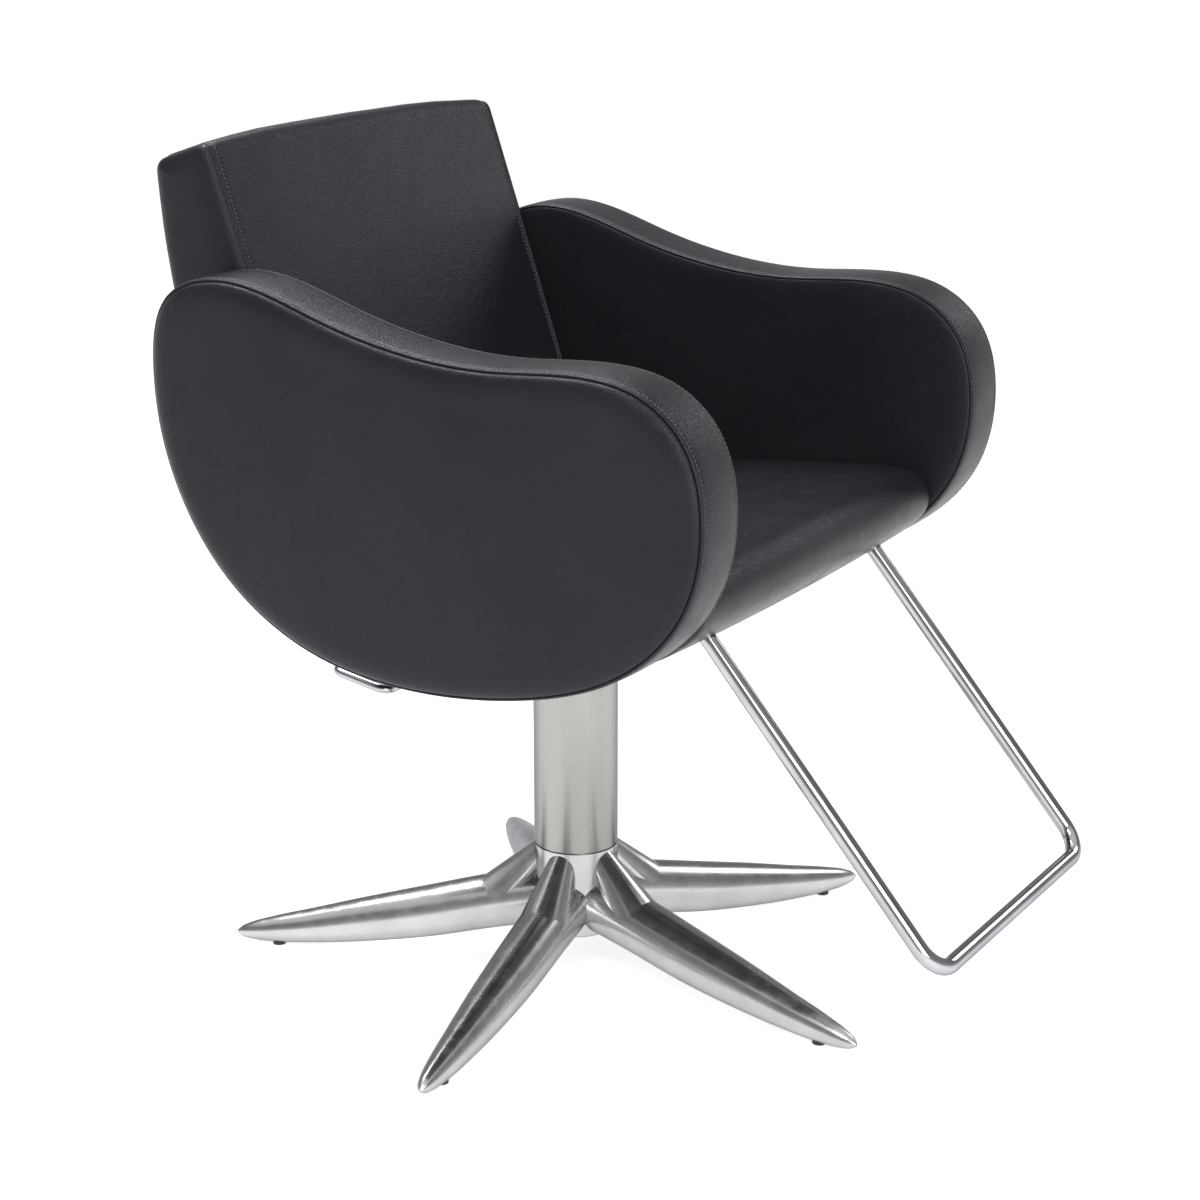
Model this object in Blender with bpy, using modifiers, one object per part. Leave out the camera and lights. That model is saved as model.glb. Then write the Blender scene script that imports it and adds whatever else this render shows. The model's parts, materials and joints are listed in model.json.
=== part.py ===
"""Hydraulic styling chair: upholstered tub seat on a pump column with a five-leg cast base.

Metres, +Z up, standing on z = 0. The sitter faces -Y. Everything is laid out about the column's
axis, and COLUMN_X and COLUMN_Y put the middle of the whole chair's box at x = y = 0.
"""

import math

import bmesh
import bpy
import numpy as np
from mathutils import Matrix, Vector

# ------------------------------------------------------------------ driving dimensions
COLUMN_X = 0.017
COLUMN_Y = 0.078
GAP = 0.0003  # between pieces that touch

LEG_COUNT = 5
LEG_TURN_DEG = 43.74  # the first leg's direction, from +X
LEG_AXIS = (  # distance out, height and radius of the leg's round section
    (0.020, 0.0665, 0.0285),
    (0.087, 0.0540, 0.0270),
    (0.150, 0.0405, 0.0255),
    (0.205, 0.0305, 0.0225),
    (0.262, 0.0210, 0.0176),
    (0.305, 0.0152, 0.0128),
    (0.328, 0.0125, 0.0085),
    (0.338, 0.0113, 0.0050),
    (0.342, 0.0108, 0.0020),
)
SHOULDER_AXIS = ((0.0245, 0.1185, 0.0115), (0.078, 0.058, 0.0265))
GLIDE_REACH = 0.300
GLIDE_RADIUS = 0.0065
GLIDE_HEIGHT = 0.0062

HUB_RADIUS = 0.041
HUB_BOTTOM = 0.035
HUB_TOP = 0.122
SPIGOT = (0.0391, 0.136)  # the hub's collar inside the column tube: radius and top
WEB_BOTTOM = 0.049
WEB_TOP = 0.0597
CYLINDER_BORE = 0.029
CYLINDER_RADIUS = 0.033
CYLINDER_TOP = 0.312
STUD_RADIUS = 0.0097
TUBE_RADIUS = 0.041
TUBE_WALL = 0.0015
TUBE_TOP = 0.322
RAM_RADIUS = 0.024
RAM_BOTTOM = 0.092
RAM_TOP = 0.331
SPIGOT_RADIUS = 0.014
SPIGOT_TOP = 0.345
HEAD_RADIUS = 0.046
HEAD_BOTTOM = 0.3266
HEAD_TOP = 0.3773
FLANGE_HALF = 0.090
FLANGE_TOP = 0.3843
BOLT_SPREAD = 0.070

LEVER_PIVOT_Y = -0.028
LEVER_PIVOT_Z = 0.362
LEVER_ROD = 0.0055
SLOT_HALF = 0.008
PLUNGER_RADIUS = 0.005
PLUNGER_BOTTOM = 0.262

SEAT_HALF = 0.2333  # the cushion and the backrest fit between the arms
BOARD_BOTTOM = 0.3846
BOARD_TOP = 0.4086
BOARD_HALF = 0.205
BOARD_FRONT = -0.178
BOARD_REAR = 0.112

ARM_INNER_FACE = 0.2338
ARM_INNER_SEAM = 0.2368
ARM_OUTER_SEAM = 0.2973
ARM_OUTER_FACE = 0.3050
ARM_CORE = (0.2580, 0.2760)
BAND_THICKNESS = 0.003
ARM_OUTLINE = (  # distance behind the column and height, once round from underneath
    (-0.020, 0.3630),
    (-0.130, 0.3745),
    (-0.225, 0.4100),
    (-0.283, 0.4710),
    (-0.300, 0.5480),
    (-0.281, 0.6160),
    (-0.243, 0.6470),
    (-0.190, 0.6580),
    (-0.100, 0.6540),
    (-0.005, 0.6610),
    (0.070, 0.6790),
    (0.135, 0.6990),
    (0.190, 0.7035),
    (0.238, 0.6830),
    (0.256, 0.6180),
    (0.238, 0.5200),
    (0.185, 0.4380),
    (0.100, 0.3830),
)
OUTLINE_STEPS = 60

BACK_FOOT = (0.1113, 0.430)  # where the backrest's front face starts
BACK_LEAN_DEG = 18.9
BACK_HEIGHT = 0.4060
BACK_BOARD = (0.0223, 0.0343)  # depths behind the front face

FOOT_HALF = 0.166  # from the middle to each footrest leg's axis
FOOT_RADIUS = 0.0075
FOOT_TOP = (-0.197, 0.4555)
FOOT_BOTTOM = (-0.458, 0.1501)
FOOT_BEND = 0.028
SOCKET_HALF = 0.012

LEATHER = (0.035, 0.036, 0.042)
POLISHED = (0.78, 0.78, 0.79)
STEEL = (0.62, 0.62, 0.63)
CHROME = (0.83, 0.83, 0.84)
BLACK = (0.02, 0.02, 0.022)
PLYWOOD = (0.55, 0.40, 0.24)


# ------------------------------------------------------------------ scene and materials
def clear_scene():
    for obj in list(bpy.data.objects):
        bpy.data.objects.remove(obj, do_unlink=True)


def collection(name):
    made = bpy.data.collections.new(name)
    bpy.context.scene.collection.children.link(made)
    return made


def finish(name, colour, roughness, metallic):
    made = bpy.data.materials.new(name)
    made.use_nodes = True
    shader = made.node_tree.nodes["Principled BSDF"]
    shader.inputs["Base Color"].default_value = (*colour, 1.0)
    shader.inputs["Roughness"].default_value = roughness
    shader.inputs["Metallic"].default_value = metallic
    return made


def frame_empty(name, parent, place):
    """An empty on a joint's axis: the pieces of a body hang under it."""
    made = bpy.data.objects.new(name, None)
    PARTS.objects.link(made)
    made.parent = parent
    made.location = place
    return made


clear_scene()
PARTS = collection("styling_chair")
CUTTERS = collection("cutters")
CUTTERS.hide_render = True

ALUMINIUM = finish("polished_aluminium", POLISHED, 0.12, 1.0)
BRUSHED = finish("brushed_steel", STEEL, 0.32, 1.0)
BRIGHT = finish("chrome", CHROME, 0.05, 1.0)
VINYL = finish("black_leatherette", LEATHER, 0.42, 0.0)
RUBBER = finish("black_rubber", BLACK, 0.7, 0.0)
PLASTIC = finish("black_plastic", BLACK, 0.45, 0.0)
PAINTED = finish("black_paint", BLACK, 0.5, 0.0)
WOOD = finish("plywood", PLYWOOD, 0.6, 0.0)
STAINED = finish("black_plywood", BLACK, 0.6, 0.0)

column = frame_empty("column_axis", None, (COLUMN_X, COLUMN_Y, 0.0))
lift = frame_empty("lift_axis", column, (0.0, 0.0, 0.0))
swivel = frame_empty("swivel_axis", lift, (0.0, 0.0, 0.0))
lever = frame_empty("lever_axis", swivel, (0.0, LEVER_PIVOT_Y, LEVER_PIVOT_Z))


# ------------------------------------------------------------------ building blocks
def place(obj, body, material):
    """Puts a part under its body's empty, keeping its mesh in the column's own frame."""
    obj.parent = body
    if body is lever:
        obj.location = -Vector(body.location)
    if material is None:
        CUTTERS.objects.link(obj)
        obj.hide_render = True
        obj.display_type = "WIRE"
        return obj
    PARTS.objects.link(obj)
    obj.data.materials.append(material)
    return obj


def smooth(mesh):
    mesh.shade_smooth()
    mesh.set_sharp_from_angle(angle=math.radians(35))


def from_bmesh(name, bm, body, material):
    bmesh.ops.recalc_face_normals(bm, faces=bm.faces)
    mesh = bpy.data.meshes.new(name)
    bm.to_mesh(mesh)
    bm.free()
    smooth(mesh)
    return place(bpy.data.objects.new(name, mesh), body, material)


def block(name, low, high, body, material):
    """A box between two opposite corners."""
    low, high = Vector(low), Vector(high)
    bm = bmesh.new()
    size = Matrix.Diagonal((*(high - low), 1.0))
    bmesh.ops.create_cube(bm, size=1.0, matrix=Matrix.Translation((low + high) / 2) @ size)
    return from_bmesh(name, bm, body, material)


def cylinder(name, start, end, radius, body, material, sides=24):
    """A cylinder between two points on its axis."""
    start, end = Vector(start), Vector(end)
    along = end - start
    turn = along.to_track_quat("Z", "Y").to_matrix().to_4x4()
    bm = bmesh.new()
    bmesh.ops.create_cone(
        bm,
        cap_ends=True,
        segments=sides,
        radius1=radius,
        radius2=radius,
        depth=along.length,
        matrix=Matrix.Translation((start + end) / 2) @ turn,
    )
    return from_bmesh(name, bm, body, material)


def turned(name, profile, body, material, steps=32, ring=True):
    """A profile of (radius, height) points turned about the column's axis, outer side downwards."""
    mesh = bpy.data.meshes.new(name)
    count = len(profile)
    edges = [(i, (i + 1) % count) for i in range(count if ring else count - 1)]
    mesh.from_pydata([(r, 0.0, z) for r, z in profile], edges, [])
    obj = place(bpy.data.objects.new(name, mesh), body, material)
    screw = obj.modifiers.new("turn", "SCREW")
    screw.steps = screw.render_steps = steps
    screw.use_merge_vertices = True
    screw.merge_threshold = 0.00001
    screw.use_smooth_shade = True
    return obj


def as_mesh(obj, body, material):
    """The curve's evaluated mesh with its caps welded on, in the curve's place."""
    graph = bpy.context.evaluated_depsgraph_get()
    mesh = bpy.data.meshes.new_from_object(obj.evaluated_get(graph))
    name = obj.name
    curve = obj.data
    turn = obj.matrix_world.copy()
    bpy.data.objects.remove(obj, do_unlink=True)
    bpy.data.curves.remove(curve)
    bm = bmesh.new()
    bm.from_mesh(mesh)
    bpy.data.meshes.remove(mesh)
    bmesh.ops.remove_doubles(bm, verts=bm.verts, dist=0.000002)
    bmesh.ops.transform(bm, matrix=turn, verts=bm.verts)
    return from_bmesh(name, bm, body, material)


def curve_object(name, dimensions):
    curve = bpy.data.curves.new(name, "CURVE")
    curve.dimensions = dimensions
    curve.resolution_u = 1
    curve.render_resolution_u = 0
    obj = bpy.data.objects.new(name, curve)
    bpy.context.scene.collection.objects.link(obj)
    return obj


def add_spline(curve, points, cyclic, radii=None):
    spline = curve.splines.new("POLY")
    spline.points.add(len(points) - 1)
    spline.use_cyclic_u = cyclic
    for i, point in enumerate(points):
        spline.points[i].co = (*point, 1.0)
        spline.points[i].radius = radii[i] if radii else 1.0


def rod(name, points, radius, body, material, sides=12, radii=None, cyclic=False):
    """A round bar along the points; radii, if given, are each point's own radius."""
    obj = curve_object(name, "3D")
    obj.data.bevel_depth = radius
    obj.data.bevel_resolution = sides // 2 - 2
    obj.data.use_fill_caps = not cyclic
    share = [r / radius for r in radii] if radii else None
    add_spline(obj.data, [tuple(p) for p in points], cyclic, share)
    bpy.context.view_layer.update()
    return as_mesh(obj, body, material)


def side_plate(name, loops, x_low, x_high, body, material, rim=0.0):
    """A plate cut from (y, z) loops and lying across x; rim rounds the edges of its outer face."""
    obj = curve_object(name, "2D")
    obj.data.fill_mode = "BOTH"
    obj.data.extrude = abs(x_high - x_low) / 2
    for loop in loops:
        add_spline(obj.data, [(y, z, 0.0) for y, z in loop], True)
    obj.rotation_euler = (math.pi / 2, 0.0, math.pi / 2)
    obj.location = ((x_low + x_high) / 2, 0.0, 0.0)
    bpy.context.view_layer.update()
    made = as_mesh(obj, body, material)
    if rim:
        round_face(made, x_high, rim)
    return made


def round_face(obj, x, width):
    """Rounds the rim of the plate's face at x, leaving the face itself flat."""
    bm = bmesh.new()
    bm.from_mesh(obj.data)
    bmesh.ops.dissolve_limit(bm, angle_limit=0.001, verts=bm.verts, edges=bm.edges)
    rim = [
        e
        for e in bm.edges
        if all(abs(v.co.x - x) < 0.00001 for v in e.verts) and e.calc_face_angle(0) > 0.5
    ]
    bmesh.ops.bevel(bm, geom=rim, offset=width, segments=2, affect="EDGES", profile=0.5)
    bm.to_mesh(obj.data)
    bm.free()
    smooth(obj.data)


def boolean(obj, other, operation):
    cut = obj.modifiers.new(operation.lower(), "BOOLEAN")
    cut.operation = operation
    cut.object = other
    cut.solver = "EXACT"


def cut_away(obj, *cutters):
    for cutter in cutters:
        boolean(obj, cutter, "DIFFERENCE")


def join_to(obj, *others):
    for other in others:
        boolean(obj, other, "UNION")


# ------------------------------------------------------------------ outlines
def closed_curve(points, count):
    """Points spread along the smooth closed curve through the given ones: a periodic cubic spline."""
    knots = np.array(points)
    following = np.roll(knots, -1, axis=0)
    step = np.linalg.norm(following - knots, axis=1)
    before = np.roll(step, 1)
    size = len(knots)
    system = np.zeros((size, size))
    for i in range(size):
        system[i, i - 1] += before[i]
        system[i, i] += 2 * (before[i] + step[i])
        system[i, (i + 1) % size] += step[i]
    slope = (following - knots) / step[:, None]
    bend = np.linalg.solve(system, 6 * (slope - np.roll(slope, 1, axis=0)))
    ends = np.concatenate([[0.0], np.cumsum(step)])
    made = []
    for along in np.linspace(0.0, ends[-1], count, endpoint=False):
        i = int(np.searchsorted(ends, along, side="right")) - 1
        t = along - ends[i]
        h = step[i]
        j = (i + 1) % size
        climb = slope[i] - h * (2 * bend[i] + bend[j]) / 6
        point = knots[i] + climb * t + bend[i] * t**2 / 2 + (bend[j] - bend[i]) * t**3 / (6 * h)
        made.append(tuple(point))
    return made


def inset(loop, distance):
    """The loop moved inwards, each corner along its mitre."""
    loop = [Vector(p) for p in loop]
    area = sum(a.x * b.y - b.x * a.y for a, b in zip(loop, loop[1:] + loop[:1]))
    side = 1.0 if area > 0 else -1.0
    made = []
    for before, here, after in zip(loop[-1:] + loop[:-1], loop, loop[1:] + loop[:1]):
        first = (here - before).normalized()
        second = (after - here).normalized()
        inward = side * (Vector((-first.y, first.x)) + Vector((-second.y, second.x)))
        reach = distance * 2.0 / max(inward.length_squared, 0.5)
        made.append(tuple(here + inward * reach))
    return made


def back_point(up, depth):
    """(y, z) of a place on the leaning backrest: up along its front face and behind it."""
    lean = math.radians(BACK_LEAN_DEG)
    y = BACK_FOOT[0] + up * math.sin(lean) + depth * math.cos(lean)
    z = BACK_FOOT[1] + up * math.cos(lean) - depth * math.sin(lean)
    return (y, z)


def back_point_at(height, depth):
    """(y, z) of the place at that height and that far behind the backrest's front face."""
    lean = math.radians(BACK_LEAN_DEG)
    up = (height - BACK_FOOT[1] + depth * math.sin(lean)) / math.cos(lean)
    return back_point(up, depth)


def foot_point(along, aside):
    """(y, z) of a place on the footrest's slope: along it from its upper end, and behind it."""
    slope = Vector(FOOT_BOTTOM) - Vector(FOOT_TOP)
    slope.normalize()
    return tuple(Vector(FOOT_TOP) + slope * along + Vector((-slope.y, slope.x)) * aside)


# ------------------------------------------------------------------ base
def leg_points(axis, angle):
    turn = Matrix.Rotation(angle, 3, "Z")
    return [turn @ Vector((reach, 0.0, height)) for reach, height, _ in axis]


def make_star_base():
    hub = turned(
        "star_base",
        [(0.010, SPIGOT[1]), (HUB_RADIUS, SPIGOT[1]), (HUB_RADIUS, HUB_BOTTOM), (0.010, HUB_BOTTOM)],
        column,
        ALUMINIUM,
        steps=40,
    )
    for i in range(LEG_COUNT):
        angle = math.radians(LEG_TURN_DEG + 360.0 / LEG_COUNT * i)
        for part, axis in (("leg", LEG_AXIS), ("shoulder", SHOULDER_AXIS)):
            radii = [radius for _, _, radius in axis]
            points = leg_points(axis, angle)
            join_to(hub, rod(f"{part}_shape_{i + 1}", points, 0.02, column, None, 20, radii))
    for i in range(LEG_COUNT):
        angle = math.radians(LEG_TURN_DEG + 360.0 / LEG_COUNT * i)
        out = Vector((math.cos(angle), math.sin(angle), 0.0)) * GLIDE_REACH
        top = out + Vector((0.0, 0.0, GLIDE_HEIGHT))
        cylinder(f"foot_glide_{i + 1}", out, top, GLIDE_RADIUS, column, PLASTIC, 16)
        top.z += GAP
        pocket = GLIDE_RADIUS + GAP
        cut_away(hub, cylinder(f"glide_pocket_{i + 1}", out, top, pocket, column, None, 16))
    bore = turned(
        "hub_bore",
        [
            (0.0, 0.160),
            (CYLINDER_RADIUS + 0.0004, 0.160),
            (CYLINDER_RADIUS + 0.0004, WEB_TOP),
            (STUD_RADIUS + 0.0007, WEB_TOP),
            (STUD_RADIUS + 0.0007, WEB_BOTTOM),
            (0.030, WEB_BOTTOM),
            (0.030, 0.0),
            (0.0, 0.0),
        ],
        column,
        None,
        steps=40,
        ring=False,
    )
    rim = turned("hub_rim", ring_profile(SPIGOT[0], 0.070, HUB_TOP, 0.160), column, None, steps=40)
    cut_away(hub, bore, rim)


def make_pump_barrel():
    """The fixed half of the pump: pressure cylinder, its nut, cover tube, gland and caps."""
    turned(
        "pump_cylinder",
        [
            (0.0, 0.072),
            (CYLINDER_BORE, 0.072),
            (CYLINDER_BORE, CYLINDER_TOP),
            (CYLINDER_RADIUS, CYLINDER_TOP),
            (CYLINDER_RADIUS, 0.060),
            (STUD_RADIUS, 0.060),
            (STUD_RADIUS, 0.024),
            (0.0, 0.024),
        ],
        column,
        PAINTED,
        ring=False,
    )
    washer = WEB_BOTTOM - GAP
    turned("base_washer", ring_profile(0.0102, 0.021, washer - 0.003, washer), column, BRUSHED)
    nut_top = washer - 0.003 - GAP
    nut = cylinder("base_nut", (0, 0, nut_top - 0.016), (0, 0, nut_top), 0.0173, column, BRUSHED, 6)
    cut_away(nut, cylinder("nut_bore", (0, 0, 0.01), (0, 0, 0.07), 0.0101, column, None, 32))
    turned(
        "column_tube",
        ring_profile(TUBE_RADIUS - TUBE_WALL, TUBE_RADIUS, HUB_TOP + GAP, TUBE_TOP),
        column,
        BRUSHED,
        steps=48,
    )
    seat = CYLINDER_TOP + GAP
    turned(
        "cylinder_gland",
        [
            (RAM_RADIUS + 0.0004, seat + 0.0055),
            (CYLINDER_RADIUS, seat + 0.0055),
            (CYLINDER_RADIUS, seat),
            (CYLINDER_BORE - GAP, seat),
            (CYLINDER_BORE - GAP, 0.288),
            (RAM_RADIUS + 0.0004, 0.288),
        ],
        column,
        BRUSHED,
    )
    turned("gland_wiper", ring_profile(RAM_RADIUS + GAP, 0.030, 0.3184, 0.3218), column, RUBBER)
    inside = TUBE_RADIUS - TUBE_WALL - GAP
    turned(
        "column_cap",
        [
            (RAM_RADIUS + 0.0006, HEAD_BOTTOM - GAP),
            (TUBE_RADIUS, HEAD_BOTTOM - GAP),
            (TUBE_RADIUS, TUBE_TOP + GAP),
            (inside, TUBE_TOP + GAP),
            (inside, 0.308),
            (0.0345, 0.308),
            (0.0345, TUBE_TOP + GAP),
            (RAM_RADIUS + 0.0006, TUBE_TOP + GAP),
        ],
        column,
        PLASTIC,
        steps=48,
    )


def ring_profile(inner, outer, bottom, top):
    return [(inner, top), (outer, top), (outer, bottom), (inner, bottom)]


# ------------------------------------------------------------------ rising ram and swivelling head
def make_ram():
    groove = 0.0112
    turned(
        "ram",
        [
            (PLUNGER_RADIUS + 0.0004, SPIGOT_TOP),
            (SPIGOT_RADIUS, SPIGOT_TOP),
            (SPIGOT_RADIUS, 0.3434),
            (groove, 0.3434),
            (groove, 0.3414),
            (SPIGOT_RADIUS, 0.3414),
            (SPIGOT_RADIUS, RAM_TOP),
            (RAM_RADIUS, RAM_TOP),
            (RAM_RADIUS, 0.104),
            (0.022, 0.104),
            (0.022, 0.098),
            (RAM_RADIUS, 0.098),
            (RAM_RADIUS, RAM_BOTTOM),
            (0.016, RAM_BOTTOM),
            (0.016, 0.296),
            (PLUNGER_RADIUS + 0.0004, 0.296),
        ],
        lift,
        BRIGHT,
    )
    turned("piston_ring", ring_profile(0.0223, CYLINDER_BORE - GAP, 0.0983, 0.1037), lift, RUBBER)
    washer = ring_profile(SPIGOT_RADIUS + GAP, RAM_RADIUS - 0.0002, RAM_TOP + GAP, 0.3343)
    turned("swivel_bearing", washer, lift, BRUSHED)
    clip = ring_profile(groove + GAP, 0.0175, 0.3417, 0.3431)
    turned("retaining_ring", clip, lift, BRUSHED)


def make_plunger():
    """A push pin with a round nose; its own body, because the lever drives it."""
    nose = LEVER_PIVOT_Z - LEVER_ROD - 0.0005
    round_nose = [
        (PLUNGER_RADIUS * math.sin(a), nose - PLUNGER_RADIUS * (1 - math.cos(a)))
        for a in np.radians([0, 30, 60, 90])
    ]
    foot = [(PLUNGER_RADIUS, PLUNGER_BOTTOM), (0.0, PLUNGER_BOTTOM)]
    turned("pump_plunger", round_nose + foot, lift, BRUSHED, steps=24, ring=False)


def make_head():
    shoulder = 0.3346
    head = turned(
        "pump_head",
        [
            (SPIGOT_RADIUS + 0.0004, HEAD_TOP),
            (HEAD_RADIUS, HEAD_TOP),
            (HEAD_RADIUS, HEAD_BOTTOM + 0.003),
            (HEAD_RADIUS - 0.003, HEAD_BOTTOM),
            (RAM_RADIUS + 0.0005, HEAD_BOTTOM),
            (RAM_RADIUS + 0.0005, shoulder),
            (SPIGOT_RADIUS + 0.0004, shoulder),
        ],
        swivel,
        PAINTED,
    )
    wide = FLANGE_HALF
    flange = block(
        "flange_shape", (-wide, -wide, HEAD_TOP - 0.001), (wide, wide, FLANGE_TOP), swivel, None
    )
    join_to(head, flange)
    recess = cylinder("clip_recess", (0, 0, 0.341), (0, 0, 0.3475), 0.019, swivel, None)
    slot = block(
        "lever_slot", (-SLOT_HALF, -0.040, 0.347), (SLOT_HALF, 0.060, HEAD_TOP), swivel, None
    )
    swing_room = block(
        "lever_swing_room", (-SLOT_HALF, 0.004, 0.3382), (SLOT_HALF, 0.030, 0.350), swivel, None
    )
    exit_cut = block(
        "lever_exit", (-SLOT_HALF, 0.0265, 0.320), (SLOT_HALF, 0.061, 0.350), swivel, None
    )
    pin_bore = cylinder(
        "pin_bore",
        (-0.06, LEVER_PIVOT_Y, LEVER_PIVOT_Z),
        (0.06, LEVER_PIVOT_Y, LEVER_PIVOT_Z),
        0.0043,
        swivel,
        None,
        16,
    )
    cut_away(head, recess, slot, swing_room, exit_cut, pin_bore)
    for i, (sx, sy) in enumerate(((-1, -1), (1, -1), (1, 1), (-1, 1))):
        x, y = sx * BOLT_SPREAD, sy * BOLT_SPREAD
        hole = cylinder(f"mount_hole_{i + 1}", (x, y, 0.36), (x, y, 0.403), 0.0044, swivel, None, 16)
        cut_away(head, hole)
        make_bolt(f"mount_bolt_{i + 1}", (x, y, HEAD_TOP - GAP - 0.001), (0, 0, 1), 0.024)
    cylinder(
        "lever_pin",
        (-0.034, LEVER_PIVOT_Y, LEVER_PIVOT_Z),
        (0.034, LEVER_PIVOT_Y, LEVER_PIVOT_Z),
        0.004,
        swivel,
        BRUSHED,
        16,
    )


def make_bolt(name, under_head, direction, length):
    """A hexagon bolt: its head stands back from under_head, its shank runs along direction."""
    start = Vector(under_head)
    along = Vector(direction)
    bolt = cylinder(name, start - along * 0.0053, start, 0.0075, swivel, BRUSHED, 6)
    shank = cylinder(
        f"{name}_shank", start - along * 0.001, start + along * length, 0.004, swivel, None, 16
    )
    join_to(bolt, shank)
    return bolt


def make_lever():
    """A bent bar with an eye at the pivot and a closed stirrup for the foot."""
    knee = (0.0, 0.038, LEVER_PIVOT_Z)
    heel = (0.0, 0.203, 0.2495)
    drop = (Vector(heel) - Vector(knee)).normalized()
    path = [(0.0, LEVER_PIVOT_Y, LEVER_PIVOT_Z), (0.0, 0.026, LEVER_PIVOT_Z)]
    path += [(0.0, 0.036, LEVER_PIVOT_Z - 0.0022), Vector(knee) + drop * 0.014, heel]
    bar = rod("pump_lever", path, LEVER_ROD, lever, BRIGHT)
    eye_ends = [(x, LEVER_PIVOT_Y, LEVER_PIVOT_Z) for x in (-0.0072, 0.0072)]
    eye = cylinder("eye_shape", *eye_ends, 0.009, lever, None, 20)
    stirrup = rod("stirrup_shape", stirrup_points(), 0.0045, lever, None, 10, cyclic=True)
    join_to(bar, eye, stirrup)
    bore_ends = [(x, LEVER_PIVOT_Y, LEVER_PIVOT_Z) for x in (-0.02, 0.02)]
    cut_away(bar, cylinder("eye_bore", *bore_ends, 0.0043, lever, None, 16))


def stirrup_points():
    """A rounded trapezium, narrow at the front, tipped up towards the rear."""
    corners = [(-0.030, 0.203), (0.030, 0.203), (0.037, 0.262), (-0.037, 0.262)]
    radius = 0.012
    made = []
    for i, here in enumerate(corners):
        here = Vector(here)
        before = (Vector(corners[i - 1]) - here).normalized()
        after = (Vector(corners[(i + 1) % 4]) - here).normalized()
        for t in (0.0, 0.25, 0.5, 0.75, 1.0):
            blend = before * (1 - t) ** 2 + after * t**2
            point = here + blend * radius
            made.append((point.x, point.y, 0.2495 + 0.24 * (point.y - 0.203)))
    return made


# ------------------------------------------------------------------ seat
def make_seat():
    board = side_plate(
        "seat_board",
        [
            [
                (BOARD_FRONT, BOARD_BOTTOM),
                (BOARD_REAR, BOARD_BOTTOM),
                (BOARD_REAR, BOARD_TOP),
                (BOARD_FRONT, BOARD_TOP),
            ]
        ],
        -BOARD_HALF,
        BOARD_HALF,
        swivel,
        STAINED,
    )
    cut_away(board, *[bpy.data.objects[f"mount_hole_{i}"] for i in (1, 2, 3, 4)])
    cover_top = BOARD_BOTTOM - GAP
    cover_bottom = cover_top - 0.0077
    cover = block(
        "under_seat_cover",
        (-0.160, -0.170, cover_bottom),
        (0.160, 0.110, cover_top),
        swivel,
        PAINTED,
    )
    apron = block(
        "cover_front", (-0.220, -0.174, cover_bottom), (0.220, -0.092, cover_top), swivel, None
    )
    join_to(cover, apron)
    window = FLANGE_HALF + 0.004
    cut_away(
        cover,
        block("cover_window", (-window, -window, 0.37), (window, window, 0.39), swivel, None),
    )
    cushion = side_plate(
        "seat_cushion",
        [
            [
                (0.1155, 0.4520),
                (-0.0460, 0.4670),
                (-0.1850, 0.4795),
                (-0.2250, 0.4820),
                (-0.2460, 0.4790),
                (-0.2590, 0.4690),
                (-0.2645, 0.4560),
                (-0.2620, 0.4420),
                (-0.2530, 0.4300),
                (-0.2380, 0.4170),
                (-0.2220, 0.4060),
                (-0.2050, 0.3980),
                (-0.1900, 0.3950),
                (-0.1810, 0.3950),
                (-0.1810, BOARD_TOP + GAP),
                (0.0150, BOARD_TOP + GAP),
                (0.0150, 0.4145),
                (0.1020, 0.4145),
            ]
        ],
        -SEAT_HALF,
        SEAT_HALF,
        swivel,
        VINYL,
    )
    for side, sign in (("left", 1), ("right", -1)):
        make_footrest_socket(side, sign, cushion)
        make_arm_bracket(side, sign, cushion)


def socket_loop(margin):
    """The footrest socket's side view, swollen by margin: a sloping barrel on a flat foot."""
    foot = BOARD_TOP + GAP
    loop = [
        foot_point(0.0395, 0.015),
        (-0.2060, foot),
        (-0.1100, foot),
        (-0.1100, foot + 0.0045),
        (-0.1810, foot + 0.0045),
        foot_point(-0.0015, 0.015),
        foot_point(-0.0015, -0.011),
        foot_point(0.0395, -0.011),
    ]
    return inset(loop, -margin) if margin else loop


def make_footrest_socket(side, sign, cushion):
    middle = sign * FOOT_HALF
    low, high = middle - SOCKET_HALF, middle + SOCKET_HALF
    socket = side_plate(f"footrest_socket_{side}", [socket_loop(0.0)], low, high, swivel, PAINTED)
    clear = 0.0006
    room = side_plate(
        f"socket_room_{side}", [socket_loop(clear)], low - clear, high + clear, swivel, None
    )
    upper = (middle, *foot_point(-0.010, 0.0))
    lower = (middle, *foot_point(0.090, 0.0))
    bore = cylinder(
        f"socket_bore_{side}", upper, lower, FOOT_RADIUS + 0.0003, swivel, None, 24
    )
    passage = cylinder(
        f"nose_passage_{side}",
        (middle, *foot_point(0.036, 0.0)),
        lower,
        FOOT_RADIUS + 0.0006,
        swivel,
        None,
        24,
    )
    screw_mid = foot_point(0.019, 0.0)
    screw_ends = [(middle, *foot_point(0.019, reach)) for reach in (0.0078, 0.0148)]
    hole_ends = [(middle, *screw_mid), (middle, *foot_point(0.019, 0.018))]
    hole = cylinder(f"screw_hole_{side}", *hole_ends, 0.0034, swivel, None, 16)
    cut_away(socket, bore, hole)
    cut_away(cushion, room, passage)
    cylinder(f"footrest_screw_{side}", *screw_ends, 0.003, swivel, BRUSHED, 16)


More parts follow.
